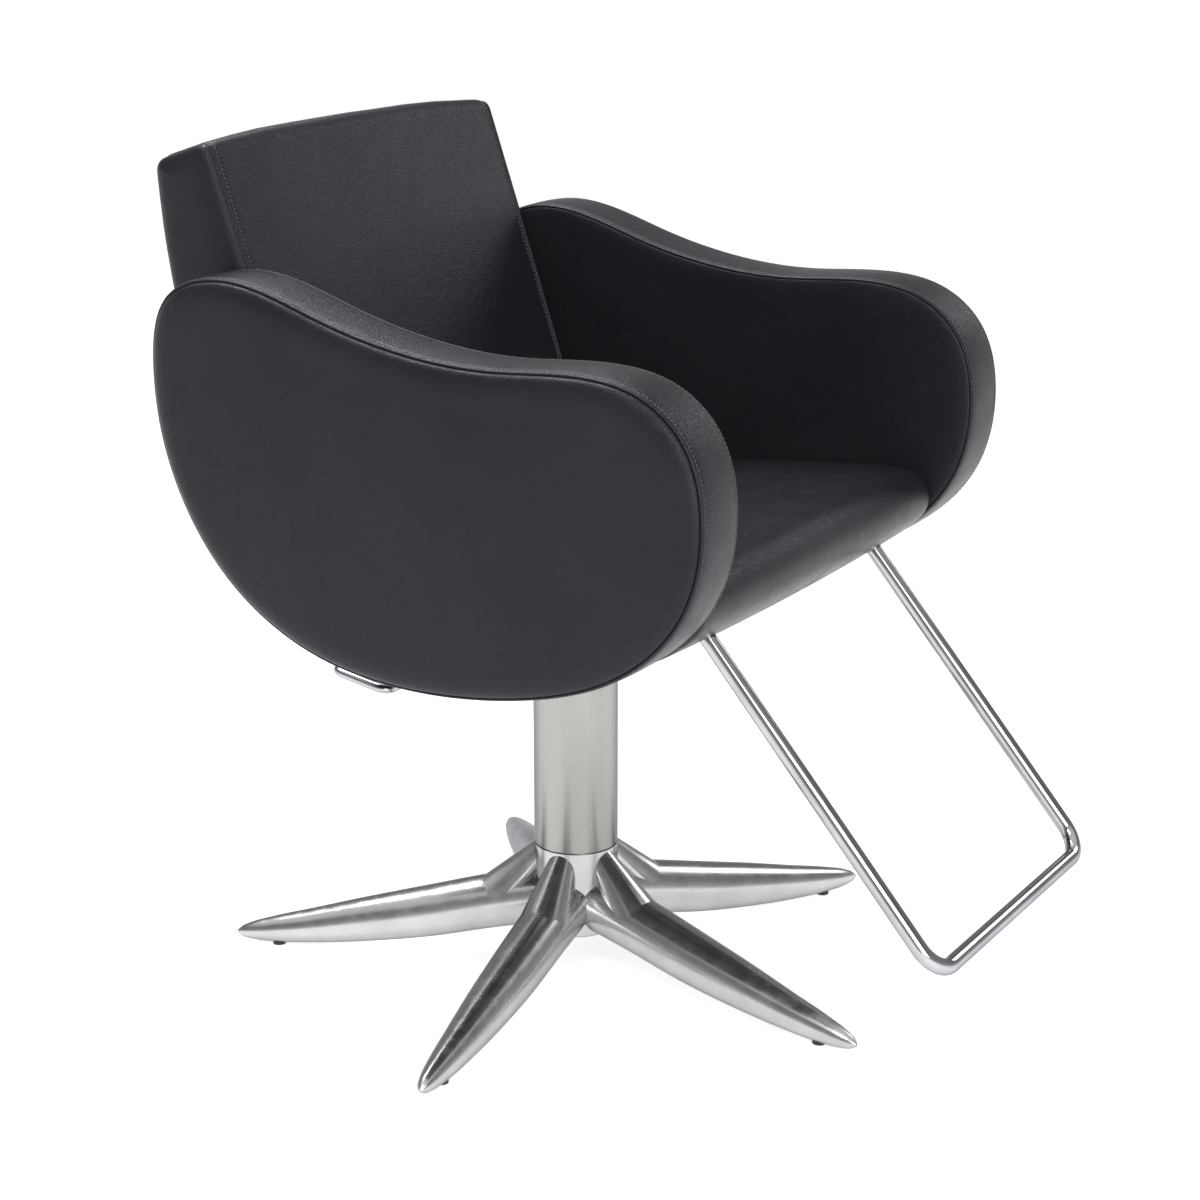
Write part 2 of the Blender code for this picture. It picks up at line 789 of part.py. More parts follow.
def make_arm_bracket(side, sign, cushion):
    """An angle under the seat board whose upright leg takes the arm's two bolts."""
    near, far = sign * 0.165, sign * 0.2295
    upright = sign * 0.2255
    low_z = BOARD_BOTTOM - GAP - 0.004
    bracket = block(
        f"arm_bracket_{side}",
        (min(near, far), -0.085, low_z),
        (max(near, far), 0.085, BOARD_BOTTOM - GAP),
        swivel,
        PAINTED,
    )
    leg = block(
        f"bracket_leg_{side}",
        (min(upright, far), -0.085, low_z),
        (max(upright, far), 0.085, 0.430),
        swivel,
        None,
    )
    join_to(bracket, leg)
    inner, outer = sign * (BOARD_HALF + 0.0006), sign * 0.2400
    room = block(
        f"bracket_room_{side}",
        (min(inner, outer), -0.0856, 0.400),
        (max(inner, outer), 0.0856, 0.4306),
        swivel,
        None,
    )
    cut_away(cushion, room)
    for end, y in (("front", -0.055), ("rear", 0.055)):
        hole = cylinder(
            f"arm_hole_{side}_{end}",
            (sign * 0.2200, y, 0.413),
            (sign * 0.2735, y, 0.413),
            0.0045,
            swivel,
            None,
            16,
        )
        cut_away(bracket, hole)
        head = (upright - sign * (GAP + 0.0003), y, 0.413)
        make_bolt(f"arm_bolt_{side}_{end}", head, (sign, 0, 0), 0.046)


# ------------------------------------------------------------------ arms and backrest
def make_arm(side, sign):
    band = closed_curve(ARM_OUTLINE, OUTLINE_STEPS)
    inside = inset(band, BAND_THICKNESS)
    filling = inset(band, BAND_THICKNESS + GAP)
    holes = [bpy.data.objects[f"arm_hole_{side}_{end}"] for end in ("front", "rear")]
    side_plate(
        f"arm_band_{side}",
        [band, inside],
        sign * ARM_INNER_SEAM,
        sign * ARM_OUTER_SEAM,
        swivel,
        VINYL,
    )
    core = side_plate(
        f"arm_core_{side}", [filling], sign * ARM_CORE[0], sign * ARM_CORE[1], swivel, WOOD
    )
    inner = side_plate(
        f"arm_inner_pad_{side}",
        [filling],
        sign * (ARM_CORE[0] - GAP),
        sign * ARM_INNER_FACE,
        swivel,
        VINYL,
        rim=0.0045,
    )
    side_plate(
        f"arm_outer_pad_{side}",
        [filling],
        sign * (ARM_CORE[1] + GAP),
        sign * ARM_OUTER_FACE,
        swivel,
        VINYL,
        rim=0.009,
    )
    cut_away(core, *holes)
    cut_away(inner, *holes)


def make_backrest():
    board_front, board_rear = BACK_BOARD
    strip = 0.005
    recess_top = 0.160
    side_plate(
        "backrest_front_pad",
        [
            [
                back_point(0.0, 0.0),
                back_point(BACK_HEIGHT - 0.006, 0.0),
                back_point(BACK_HEIGHT, 0.006),
                back_point(BACK_HEIGHT, board_front - GAP),
                back_point(0.0, board_front - GAP),
            ]
        ],
        -SEAT_HALF,
        SEAT_HALF,
        swivel,
        VINYL,
    )
    side_plate(
        "backrest_board",
        [
            [
                back_point(0.0, board_front),
                back_point(BACK_HEIGHT - 0.012, board_front),
                back_point(BACK_HEIGHT - 0.012, board_rear),
                back_point(0.0, board_rear),
            ]
        ],
        -BOARD_HALF,
        BOARD_HALF,
        swivel,
        WOOD,
    )
    side_plate(
        "backrest_rear_pad",
        [
            [
                back_point(recess_top, board_rear + GAP),
                back_point(BACK_HEIGHT - 0.012 + GAP, board_rear + GAP),
                back_point(BACK_HEIGHT - 0.012 + GAP, board_front),
                back_point(BACK_HEIGHT, board_front),
                back_point(BACK_HEIGHT, 0.058),
                back_point(BACK_HEIGHT - 0.006, 0.064),
                (0.3015, 0.770),
                (0.2957, 0.720),
                (0.2872, 0.670),
                (0.2754, 0.620),
                (0.2602, 0.572),
                (0.2428, 0.530),
                (0.2220, 0.492),
                (0.2000, 0.462),
                (0.1750, 0.437),
                (0.1470, 0.415),
                back_point(-0.010, board_rear + strip + 2 * GAP),
                back_point(recess_top, board_rear + strip + 2 * GAP),
            ]
        ],
        -SEAT_HALF,
        SEAT_HALF,
        swivel,
        VINYL,
    )
    foot = BOARD_TOP + GAP
    for side, sign in (("left", 1), ("right", -1)):
        middle = sign * 0.120
        front_face, rear_face = board_rear + GAP, board_rear + GAP + strip
        side_plate(
            f"backrest_bracket_{side}",
            [
                [
                    (0.0200, foot),
                    back_point_at(foot, rear_face),
                    back_point(recess_top - 0.002, rear_face),
                    back_point(recess_top - 0.002, front_face),
                    back_point_at(foot + strip, front_face),
                    (0.0200, foot + strip),
                ]
            ],
            middle - 0.020,
            middle + 0.020,
            swivel,
            PAINTED,
        )


# ------------------------------------------------------------------ footrest
def make_footrest():
    """One bar bent to a U: two sloping legs, two corner bends and the bar for the feet."""
    slope = Vector(FOOT_TOP) - Vector(FOOT_BOTTOM)
    slope.normalize()
    rise = Vector((0.0, slope.x, slope.y))
    lowest = Vector((0.0, *FOOT_BOTTOM))
    points = [Vector((-FOOT_HALF, *FOOT_TOP))]
    for sign in (-1, 1):
        arc = [math.radians(a) for a in range(0, 91, 15)]
        if sign > 0:
            arc.reverse()
        centre = lowest + rise * FOOT_BEND + Vector((sign * (FOOT_HALF - FOOT_BEND), 0.0, 0.0))
        for a in arc:
            side = Vector((sign * FOOT_BEND * math.cos(a), 0.0, 0.0))
            points.append(centre + side - rise * FOOT_BEND * math.sin(a))
    points.append(Vector((FOOT_HALF, *FOOT_TOP)))
    rod("footrest_bar", points, FOOT_RADIUS, swivel, BRIGHT, sides=14)


def main():
    make_star_base()
    make_pump_barrel()
    make_ram()
    make_plunger()
    make_head()
    make_lever()
    make_seat()
    for side, sign in (("left", 1), ("right", -1)):
        make_arm(side, sign)
    make_backrest()
    make_footrest()


main()
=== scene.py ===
"""Styling chair: the looks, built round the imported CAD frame, in metres and +Z up."""

import json
import math

import bmesh
import bpy
import numpy as np
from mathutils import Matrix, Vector, noise


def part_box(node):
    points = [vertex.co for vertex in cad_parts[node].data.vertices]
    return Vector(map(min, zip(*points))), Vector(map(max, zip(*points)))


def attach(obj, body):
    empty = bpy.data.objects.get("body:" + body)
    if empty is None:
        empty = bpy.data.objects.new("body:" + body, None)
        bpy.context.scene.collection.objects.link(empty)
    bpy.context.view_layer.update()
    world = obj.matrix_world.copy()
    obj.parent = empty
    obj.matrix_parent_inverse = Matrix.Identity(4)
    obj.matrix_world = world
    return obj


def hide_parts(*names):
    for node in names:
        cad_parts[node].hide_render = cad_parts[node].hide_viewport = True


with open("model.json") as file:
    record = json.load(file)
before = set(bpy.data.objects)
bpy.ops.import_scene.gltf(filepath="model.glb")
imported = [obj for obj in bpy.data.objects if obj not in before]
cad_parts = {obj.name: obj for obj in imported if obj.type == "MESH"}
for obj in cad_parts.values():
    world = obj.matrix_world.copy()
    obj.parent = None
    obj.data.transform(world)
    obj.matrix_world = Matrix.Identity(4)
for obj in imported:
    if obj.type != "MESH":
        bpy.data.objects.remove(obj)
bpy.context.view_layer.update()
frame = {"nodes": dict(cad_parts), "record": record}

nodes = frame["nodes"]


def middle(node):
    low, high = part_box(node)
    return (Vector(low) + Vector(high)) / 2


COLUMN = Vector((middle("ram").x, middle("ram").y, 0.0))

# ------------------------------------------------------------------ sizes shared with the CAD
ARM_OUTLINE = (  # distance behind the column and height, once round from underneath
    (-0.020, 0.3630),
    (-0.130, 0.3745),
    (-0.225, 0.4100),
    (-0.283, 0.4710),
    (-0.300, 0.5480),
    (-0.281, 0.6160),
    (-0.243, 0.6470),
    (-0.190, 0.6580),
    (-0.100, 0.6540),
    (-0.005, 0.6610),
    (0.070, 0.6790),
    (0.135, 0.6990),
    (0.190, 0.7035),
    (0.238, 0.6830),
    (0.256, 0.6180),
    (0.238, 0.5200),
    (0.185, 0.4380),
    (0.100, 0.3830),
)
BACK_FOOT = (0.1113, 0.430)
BACK_LEAN = math.radians(18.9)
BACK_HEIGHT = 0.406
SEAT_HALF = 0.2328
FOOT_HALF = 0.166
FOOT_TOP = (-0.197, 0.4555)
FOOT_BOTTOM = (-0.458, 0.1501)
FOOT_BEND = 0.028
FOOT_RADIUS = 0.0075
LEG_COUNT = 5
LEG_TURN_DEG = 43.74
LEG_AXIS = (  # reach from the column, height and radius
    (0.020, 0.0665, 0.0285),
    (0.087, 0.0540, 0.0270),
    (0.150, 0.0405, 0.0255),
    (0.205, 0.0305, 0.0225),
    (0.262, 0.0210, 0.0176),
    (0.305, 0.0152, 0.0128),
    (0.328, 0.0125, 0.0085),
    (0.338, 0.0113, 0.0050),
    (0.342, 0.0108, 0.0020),
)
SHOULDER_AXIS = ((0.0245, 0.1185, 0.0115), (0.078, 0.058, 0.0265))
HUB_RADIUS = 0.041
HUB_BOTTOM = 0.035
HUB_TOP = 0.122
HUB_SPIGOT_TOP = 0.136  # the part of the hub that stands up inside the column
SPIGOT_RADIUS = 0.0391
BARREL_BORE = (0.0334, 0.0597)  # radius and floor of the hole for the pump's barrel
STUD_BORE = (0.0104, 0.0490)
NUT_RECESS_RADIUS = 0.0300
POCKET_RADIUS = 0.0068
POCKET_ROOM = 0.0003  # between a glide's top and the roof of its pocket
LEVER_PIVOT = (-0.028, 0.362)
LEVER_STRAIGHT = (0.010, 0.026)  # where the bar runs level, behind the column's axis
LEVER_KNEE = 0.038
LEVER_HEEL = (0.203, 0.2495)
LEVER_BEND = 0.014
LEVER_RADIUS = 0.0055
LEVER_EYE = (0.0072, 0.009)  # half its width, and its radius
LEVER_BORE = (0.02, 0.0043)
STIRRUP_CORNERS = ((-0.030, 0.203), (0.030, 0.203), (0.037, 0.262), (-0.037, 0.262))
STIRRUP_CORNER = 0.012
STIRRUP_RADIUS = 0.0045
STIRRUP_RISE = 0.24  # height gained for each metre behind the heel
ON_AXIS = 0.0005  # the smallest radius of a turned solid
WELD_DISTANCE = 0.00002


# ------------------------------------------------------------------ materials
EDGE_TINT = (0.40, 0.40, 0.42, 1.0)  # how far a metal darkens where it turns edge-on


class Nodes:
    """Short ways to wire up one material's nodes."""

    def __init__(self, name):
        self.material = bpy.data.materials.new(name)
        self.material.use_nodes = True
        self.tree = self.material.node_tree
        self.shader = self.tree.nodes["Principled BSDF"]
        self.coords = self.tree.nodes.new("ShaderNodeTexCoord").outputs["Object"]

    def put(self, kind, **settings):
        node = self.tree.nodes.new(kind)
        for key, value in settings.items():
            setattr(node, key, value)
        return node

    def link(self, source, target):
        self.tree.links.new(source, target)

    def stretch(self, scale):
        node = self.put("ShaderNodeMapping")
        node.inputs["Scale"].default_value = scale
        self.link(self.coords, node.inputs["Vector"])
        return node.outputs["Vector"]

    def noise(self, scale, detail=3.0, where=None):
        node = self.put("ShaderNodeTexNoise")
        node.inputs["Scale"].default_value = scale
        node.inputs["Detail"].default_value = detail
        self.link(where or self.coords, node.inputs["Vector"])
        return node.outputs["Fac"]

    def cells(self, scale):
        """Distance to the nearest edge between cells."""
        node = self.put("ShaderNodeTexVoronoi", feature="DISTANCE_TO_EDGE")
        node.inputs["Scale"].default_value = scale
        self.link(self.coords, node.inputs["Vector"])
        return node.outputs["Distance"]

    def spread(self, value, low, high, start=0.25, end=0.75):
        """value from start to end, spread over low to high."""
        node = self.put("ShaderNodeMapRange")
        for key, number in (
            ("From Min", start),
            ("From Max", end),
            ("To Min", low),
            ("To Max", high),
        ):
            node.inputs[key].default_value = number
        self.link(value, node.inputs["Value"])
        return node.outputs["Result"]

    def between(self, value, first, second, start=0.3, end=0.7):
        """A colour between two, by value."""
        node = self.put("ShaderNodeValToRGB")
        node.color_ramp.elements[0].position = start
        node.color_ramp.elements[0].color = (*first, 1.0)
        node.color_ramp.elements[1].position = end
        node.color_ramp.elements[1].color = (*second, 1.0)
        self.link(value, node.inputs["Fac"])
        return node.outputs["Color"]

    def set(self, **values):
        """Numbers, colours or links for the shader's own sockets."""
        for key, value in values.items():
            socket = self.shader.inputs[key.replace("_", " ")]
            if isinstance(value, bpy.types.NodeSocket):
                self.link(value, socket)
            else:
                socket.default_value = value

    def bump(self, height, distance, strength, under=None):
        node = self.put("ShaderNodeBump")
        node.inputs["Strength"].default_value = strength
        node.inputs["Distance"].default_value = distance
        self.link(height, node.inputs["Height"])
        if under:
            self.link(under, node.inputs["Normal"])
        self.link(node.outputs["Normal"], self.shader.inputs["Normal"])
        return node.outputs["Normal"]


def leatherette(name, dark, light, rough):
    """Coated fabric: pebbled cells about a millimetre across, fine pores and slow tone changes."""
    n = Nodes(name)
    slow = n.noise(9.0, 4.0)
    n.set(
        Base_Color=n.between(slow, dark, light),
        Roughness=n.spread(n.noise(55.0, 5.0), rough - 0.045, rough + 0.055),
        Specular_IOR_Level=0.235,
        Specular_Tint=(0.80, 0.86, 1.0, 1.0),
    )
    wide = n.bump(n.noise(38.0, 2.0), 0.0006, 0.35)
    pebbles = n.spread(n.cells(620.0), 0.0, 1.0, start=0.0, end=0.35)
    grain = n.bump(pebbles, 0.00020, 0.75, under=wide)
    n.bump(n.noise(1500.0, 3.0), 0.00008, 0.60, under=grain)
    return n.material


def thread_material():
    n = Nodes("thread")
    n.set(
        Base_Color=n.between(n.noise(900.0), (0.020, 0.020, 0.025), (0.048, 0.048, 0.056)),
        Roughness=0.5,
        Sheen_Weight=0.3,
    )
    n.bump(n.noise(4000.0, 2.0), 0.00008, 0.6)
    return n.material


def polished_aluminium():
    """Cast, then polished by hand: mirror-like with soft ripples, faint haze and polishing lines."""
    n = Nodes("polished_aluminium")
    haze = n.noise(26.0, 5.0)
    n.set(
        Base_Color=n.between(haze, (0.49, 0.49, 0.495), (0.57, 0.57, 0.575)),
        Metallic=1.0,
        Specular_Tint=EDGE_TINT,
        Roughness=n.spread(n.noise(75.0, 6.0), 0.17, 0.31),
    )
    waves = n.bump(n.noise(20.0, 0.0), 0.0030, 0.17)
    n.bump(n.noise(900.0, 2.0, n.stretch((1.0, 1.0, 0.12))), 0.00002, 0.20, under=waves)
    return n.material


def chrome():
    n = Nodes("chrome")
    n.set(
        Base_Color=n.between(n.noise(30.0), (0.42, 0.43, 0.45), (0.51, 0.52, 0.53)),
        Metallic=1.0,
        Specular_Tint=EDGE_TINT,
        Roughness=n.spread(n.noise(120.0, 5.0), 0.035, 0.085),
    )
    n.bump(n.noise(60.0, 1.0), 0.0004, 0.15)
    return n.material


def brushed(name, first, second, low, high, lines):
    """Steel with fine parallel lines; lines stretches them along one axis."""
    n = Nodes(name)
    streaks = n.noise(1.0, 5.0, n.stretch(lines))
    n.set(
        Base_Color=n.between(streaks, first, second),
        Metallic=1.0,
        Specular_Tint=EDGE_TINT,
        Roughness=n.spread(streaks, low, high),
    )
    n.bump(streaks, 0.00005, 0.4)
    return n.material


def paint(name, dark, light, rough, scale, depth):
    """Powder coat or moulded plastic: a fine, even texture over a nearly black colour."""
    n = Nodes(name)
    n.set(
        Base_Color=n.between(n.noise(40.0), dark, light),
        Roughness=n.spread(n.noise(140.0), rough - 0.05, rough + 0.07),
    )
    n.bump(n.noise(scale, 3.0), depth, 0.5)
    return n.material


def plywood(name, light, dark):
    """Veneers lying flat: stripes on the edges and long grain on the faces."""
    n = Nodes(name)
    layers = n.put("ShaderNodeTexWave", bands_direction="Z", wave_profile="SIN")
    layers.inputs["Scale"].default_value = 110.0
    layers.inputs["Distortion"].default_value = 0.6
    n.link(n.coords, layers.inputs["Vector"])
    grain = n.noise(1.0, 6.0, n.stretch((420.0, 9.0, 9.0)))
    mix = n.put("ShaderNodeMix", data_type="RGBA", blend_type="MULTIPLY")
    mix.inputs["Factor"].default_value = 0.7
    n.link(n.between(layers.outputs["Fac"], light, dark), mix.inputs["A"])
    n.link(n.between(grain, (0.75, 0.70, 0.62), (1.0, 1.0, 1.0)), mix.inputs["B"])
    n.set(Base_Color=mix.outputs["Result"], Roughness=n.spread(grain, 0.55, 0.75))
    n.bump(grain, 0.0002, 0.4)
    return n.material


LEATHER = leatherette(
    "black_leatherette", (0.0082, 0.0080, 0.0102), (0.0118, 0.0115, 0.0140), rough=0.34
)
THREAD = thread_material()
ALUMINIUM = polished_aluminium()
CHROME = chrome()
SATIN = brushed(
    "satin_steel",
    (0.355, 0.355, 0.338),
    (0.385, 0.385, 0.368),
    low=0.24,
    high=0.32,
    lines=(500.0, 500.0, 3.0),
)
STEEL = brushed(
    "machined_steel",
    (0.46, 0.46, 0.47),
    (0.60, 0.60, 0.61),
    low=0.25,
    high=0.42,
    lines=(90.0, 90.0, 900.0),
)
PAINT = paint(
    "black_powder_coat",
    (0.012, 0.012, 0.013),
    (0.022, 0.022, 0.024),
    rough=0.42,
    scale=1500.0,
    depth=0.0001,
)
PLASTIC = paint(
    "black_plastic",
    (0.010, 0.010, 0.011),
    (0.019, 0.019, 0.020),
    rough=0.5,
    scale=2600.0,
    depth=0.00006,
)
RUBBER = paint(
    "black_rubber",
    (0.008, 0.008, 0.008),
    (0.016, 0.016, 0.016),
    rough=0.72,
    scale=1800.0,
    depth=0.00008,
)
WOOD = plywood("plywood", (0.62, 0.45, 0.27), (0.36, 0.23, 0.12))
BLACK_WOOD = plywood("black_plywood", (0.026, 0.024, 0.022), (0.013, 0.012, 0.011))

SLOT_LOOKS = {
    "leatherette": LEATHER,
    "polished_aluminium": ALUMINIUM,
    "brushed_steel": STEEL,
    "chrome": CHROME,
    "black_paint": PAINT,
    "black_plastic": PLASTIC,
    "black_rubber": RUBBER,
    "plywood": WOOD,
    "black_plywood": BLACK_WOOD,
}
SLOT_OF = {item["node"]: item["material_slot"] for item in frame["record"]["subparts"]}


SOFT_EDGE = 0.0006


def repaint_frame():
    """Every CAD node gets its slot's material and a small soft edge."""
    for name, obj in nodes.items():
        look = SLOT_LOOKS[SLOT_OF[name]]
        obj.data.materials.clear()
        obj.data.materials.append(look)
        edge = obj.modifiers.new("edges", "BEVEL")
        edge.width = SOFT_EDGE
        edge.segments = 2
        edge.limit_method = "ANGLE"
        edge.angle_limit = math.radians(40)
        edge.harden_normals = True


# ------------------------------------------------------------------ mesh building
def add_object(name, points, faces, look, body, smooth_angle=180.0):
    """A smooth-shaded mesh; one without a body is a tool shape that a boolean uses up."""
    mesh = bpy.data.meshes.new(name)
    mesh.from_pydata([tuple(p) for p in points], [], faces)
    bm = bmesh.new()
    bm.from_mesh(mesh)
    bmesh.ops.recalc_face_normals(bm, faces=bm.faces)
    bm.to_mesh(mesh)
    bm.free()
    mesh.shade_smooth()
    if smooth_angle < 180.0:
        mesh.set_sharp_from_angle(angle=math.radians(smooth_angle))
    obj = bpy.data.objects.new(name, mesh)
    bpy.context.scene.collection.objects.link(obj)
    mesh.materials.append(look)
    if body:
        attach(obj, body)
    return obj


def ring_faces(rings, count, closed_rings=False):
    """Quads between rings of count points each; closed_rings joins the last ring to the first."""
    faces = []
    for r in range(rings if closed_rings else rings - 1):
        a, b = r * count, (r + 1) % rings * count
        for i in range(count):
            j = (i + 1) % count
            faces.append((a + i, a + j, b + j, b + i))
    return faces


def closed_curve(points, count):
    """Points spread along a smooth closed curve through the given ones, a periodic spline."""
    knots = np.array(points)
    following = np.roll(knots, -1, axis=0)
    step = np.linalg.norm(following - knots, axis=1)
    before = np.roll(step, 1)
    size = len(knots)
    system = np.zeros((size, size))
    for i in range(size):
        system[i, i - 1] += before[i]
        system[i, i] += 2 * (before[i] + step[i])
        system[i, (i + 1) % size] += step[i]
    slope = (following - knots) / step[:, None]
    bend = np.linalg.solve(system, 6 * (slope - np.roll(slope, 1, axis=0)))
    ends = np.concatenate([[0.0], np.cumsum(step)])
    made = []
    for along in np.linspace(0.0, ends[-1], count, endpoint=False):
        i = int(np.searchsorted(ends, along, side="right")) - 1
        t = along - ends[i]
        h = step[i]
        j = (i + 1) % size
        climb = slope[i] - h * (2 * bend[i] + bend[j]) / 6
        made.append(knots[i] + climb * t + bend[i] * t**2 / 2 + (bend[j] - bend[i]) * t**3 / (6 * h))
    return np.array(made)


def rounded_loop(corners, count):
    """A loop of (y, z, radius) corners with each corner rounded, as evenly spread points."""
    dense = []
    size = len(corners)
    for i, (y, z, radius) in enumerate(corners):
        here = np.array([y, z])
        back = np.array(corners[i - 1][:2]) - here
        on = np.array(corners[(i + 1) % size][:2]) - here
        reach = min(radius, 0.48 * np.linalg.norm(back), 0.48 * np.linalg.norm(on))
        back = back / np.linalg.norm(back) * reach
        on = on / np.linalg.norm(on) * reach
        for t in np.linspace(0.0, 1.0, 9):
            dense.append(here + back * (1 - t) ** 2 + on * t**2)
    dense = np.array(dense)
    step = np.linalg.norm(np.roll(dense, -1, axis=0) - dense, axis=1)
    ends = np.concatenate([[0.0], np.cumsum(step)])
    closed = np.vstack([dense, dense[:1]])
    even = np.linspace(0.0, ends[-1], count, endpoint=False)
    return np.column_stack([np.interp(even, ends, closed[:, k]) for k in (0, 1)])


def inward(loop):
    """Unit normals pointing into a closed (y, z) loop."""
    along = np.roll(loop, -1, axis=0) - np.roll(loop, 1, axis=0)
    along /= np.linalg.norm(along, axis=1)[:, None]
    ahead = np.roll(loop, -1, axis=0)
    area = np.sum(loop[:, 0] * ahead[:, 1] - ahead[:, 0] * loop[:, 1])
    side = 1.0 if area > 0 else -1.0
    return side * np.column_stack([-along[:, 1], along[:, 0]])


def flat_ring(points, x):
    return np.column_stack([np.full(len(points), x), points])


def ring_at(loop, normals, inset, x):
    return flat_ring(loop + normals * inset, x)


def capped_faces(rings, count):
    """Faces of a closed shell made of rings, with one face over each end."""
    faces = ring_faces(rings, count)
    faces.append(tuple(range(count)))
    faces.append(tuple(range((rings - 1) * count, rings * count)))
    return faces


def ripple(points, wave, height, seed):
    """Pushes points in and out by a slow noise, as foam under a cover is never dead flat."""
    out = points.copy()
    for i, p in enumerate(points):
        out[i] += noise.noise(Vector(p) / wave + Vector((seed, seed, seed))) * height[i]
    return out


# ------------------------------------------------------------------ upholstery
SEAM_X = 0.2968  # where the outer face meets the band
INNER_SEAM_X = 0.2370
ARM_POINTS = 480  # round an arm's outline
BACK_POINTS = 420
SEAT_POINTS = 360
FACE_CROWN = 0.0022  # how far the middle of an arm's face stands out past its rim
INNER_FACE_SCALE = 0.36  # the inner faces are padded less than the outer ones
ROW_FROM_SEAM = 0.0041
BACK_ROW_FROM_SEAM = 0.0040
FACE_RINGS = (  # inset from the outline and how far the face stands out from its seam
    (0.0031, -0.0200),
    (0.0031, -0.0016),
    (0.0032, 0.0000),
    (0.0036, 0.0012),
    (0.0044, 0.0023),
    (0.0058, 0.0035),
    (0.0078, 0.0046),
    (0.0104, 0.0056),
    (0.0136, 0.0064),
    (0.0175, 0.0070),
    (0.0222, 0.0074),
    (0.0280, 0.0076),
    (0.0350, 0.0077),
)
BAND_RINGS = (  # distance in from a seam and inset from the outline
    (0.0000, 0.0029),
    (-0.0001, 0.0019),
    (0.0004, 0.0011),
    (0.0014, 0.0005),
    (0.0026, 0.0002),
    (0.0034, 0.0003),
    (0.0041, 0.0006),
    (0.0048, 0.0002),
    (0.0062, -0.0001),
    (0.0110, -0.0005),
    (0.0180, -0.0008),
)


def face_pad(name, loop, normals, sign, seam, direction, scale):
    """One side panel of an arm: a crowned face with a rolled rim and a flat hidden back."""
    centre = loop.mean(axis=0)
    inner_loop = loop + normals * FACE_RINGS[-1][0]
    crown = direction * FACE_CROWN * scale
    rings = []
    for inset, out in FACE_RINGS:
        x = seam + direction * out * (scale if out > 0 else 1.0)
        rings.append(ring_at(loop, normals, inset, x))
    face = seam + direction * FACE_RINGS[-1][1] * scale
    for share in (0.12, 0.28, 0.46, 0.64, 0.80, 0.92):
        x = face + crown * (1 - (1 - share) ** 2)
        rings.append(flat_ring(inner_loop + (centre - inner_loop) * share, x))
    count = len(loop)
    points = np.vstack(rings)
    depth = np.zeros(len(points))
    depth[count * 3 :] = 0.00035
    points[:, 0] += (ripple(points, wave=0.045, height=depth, seed=3.1) - points)[:, 0]
    puckers = np.zeros(len(points))
    puckers[count * 3 : count * 9] = 0.00016
    points[:, 0] += (ripple(points, wave=0.007, height=puckers, seed=7.7) - points)[:, 0]
    faces = ring_faces(len(rings), count)
    total = len(points)
    back = np.array([[seam + direction * FACE_RINGS[0][1], *centre]])
    front = np.array([[face + crown, *centre]])
    points = np.vstack([points, back, front])
    last = total - count
    for i in range(count):
        j = (i + 1) % count
        faces.append((j, i, total))
        faces.append((last + i, last + j, total + 1))
    points[:, 0] *= sign
    points += np.array(COLUMN)
    return add_object(name, points, faces, LEATHER, "seat")


def arm_band(name, loop, normals, sign):
    """The strip sewn round the arm: crowned, rolled in at both seams, grooved for its stitches."""
    width = SEAM_X - INNER_SEAM_X
    profile = [(INNER_SEAM_X + a, n) for a, n in BAND_RINGS]
    profile.append((INNER_SEAM_X + width / 2, -0.0010))
    profile += [(SEAM_X - a, n) for a, n in reversed(BAND_RINGS)]
    rings = [ring_at(loop, normals, n, x) for x, n in profile]
    points = np.vstack(rings)
    count = len(loop)
    sway = np.full(len(points), 0.00022)
    sway[: count * 4] = 0.0
    sway[-count * 4 :] = 0.0
    points = ripple(points, wave=0.03, height=sway, seed=1.3)
    faces = ring_faces(len(rings), count, closed_rings=True)
    points[:, 0] *= sign
    points += np.array(COLUMN)
    return add_object(name, points, faces, LEATHER, "seat")


STITCH_PITCH = 0.0040
STITCH_LENGTH = 0.0029
STITCH_RADIUS = 0.00060
STITCH_SIDES = 6
STITCH_HALF = ((0.0, -0.9, 0.5), (0.2, 0.15, 0.95), (0.5, 0.45, 1.0))  # along, lift, thickness


def stitches(name, path, normals):
    """A closed row of thread stitches: short runs that dip into the cover at both ends."""
    path = np.vstack([path, path[:1]])
    normals = np.vstack([normals, normals[:1]])
    ends = np.concatenate([[0.0], np.cumsum(np.linalg.norm(np.diff(path, axis=0), axis=1))])
    count = int(ends[-1] / STITCH_PITCH)
    sides = STITCH_SIDES
    radius = STITCH_RADIUS
    rings = list(STITCH_HALF)
    rings += [(1 - t, lift, thin) for t, lift, thin in reversed(rings[:2])]

    def read(rows, at):
        return np.array([np.interp(at, ends, rows[:, c]) for c in range(3)])

    points, faces = [], []
    for k in range(count):
        start = ends[-1] * (k + 0.5) / count - STITCH_LENGTH / 2
        base = len(points)
        for t, lift, thin in rings:
            at = start + t * STITCH_LENGTH
            here = read(path, at)
            ahead = read(path, at + 0.0005)
            behind = read(path, at - 0.0005)
            up = read(normals, at)
            up /= np.linalg.norm(up)
            along = ahead - behind
            along /= np.linalg.norm(along)
            side = np.cross(along, up)
            for s in range(sides):
                a = 2 * math.pi * s / sides
                offset = up * math.cos(a) + side * math.sin(a)
                points.append(here + up * radius * lift + offset * radius * thin)
        for r in range(len(rings) - 1):
            for s in range(sides):
                q = (s + 1) % sides
                a, b = base + r * sides, base + (r + 1) * sides
                faces.append((a + s, a + q, b + q, b + s))
        faces.append(tuple(base + s for s in range(sides)))
        faces.append(tuple(base + (len(rings) - 1) * sides + s for s in range(sides)))
    return add_object(name, points, faces, THREAD, "seat")


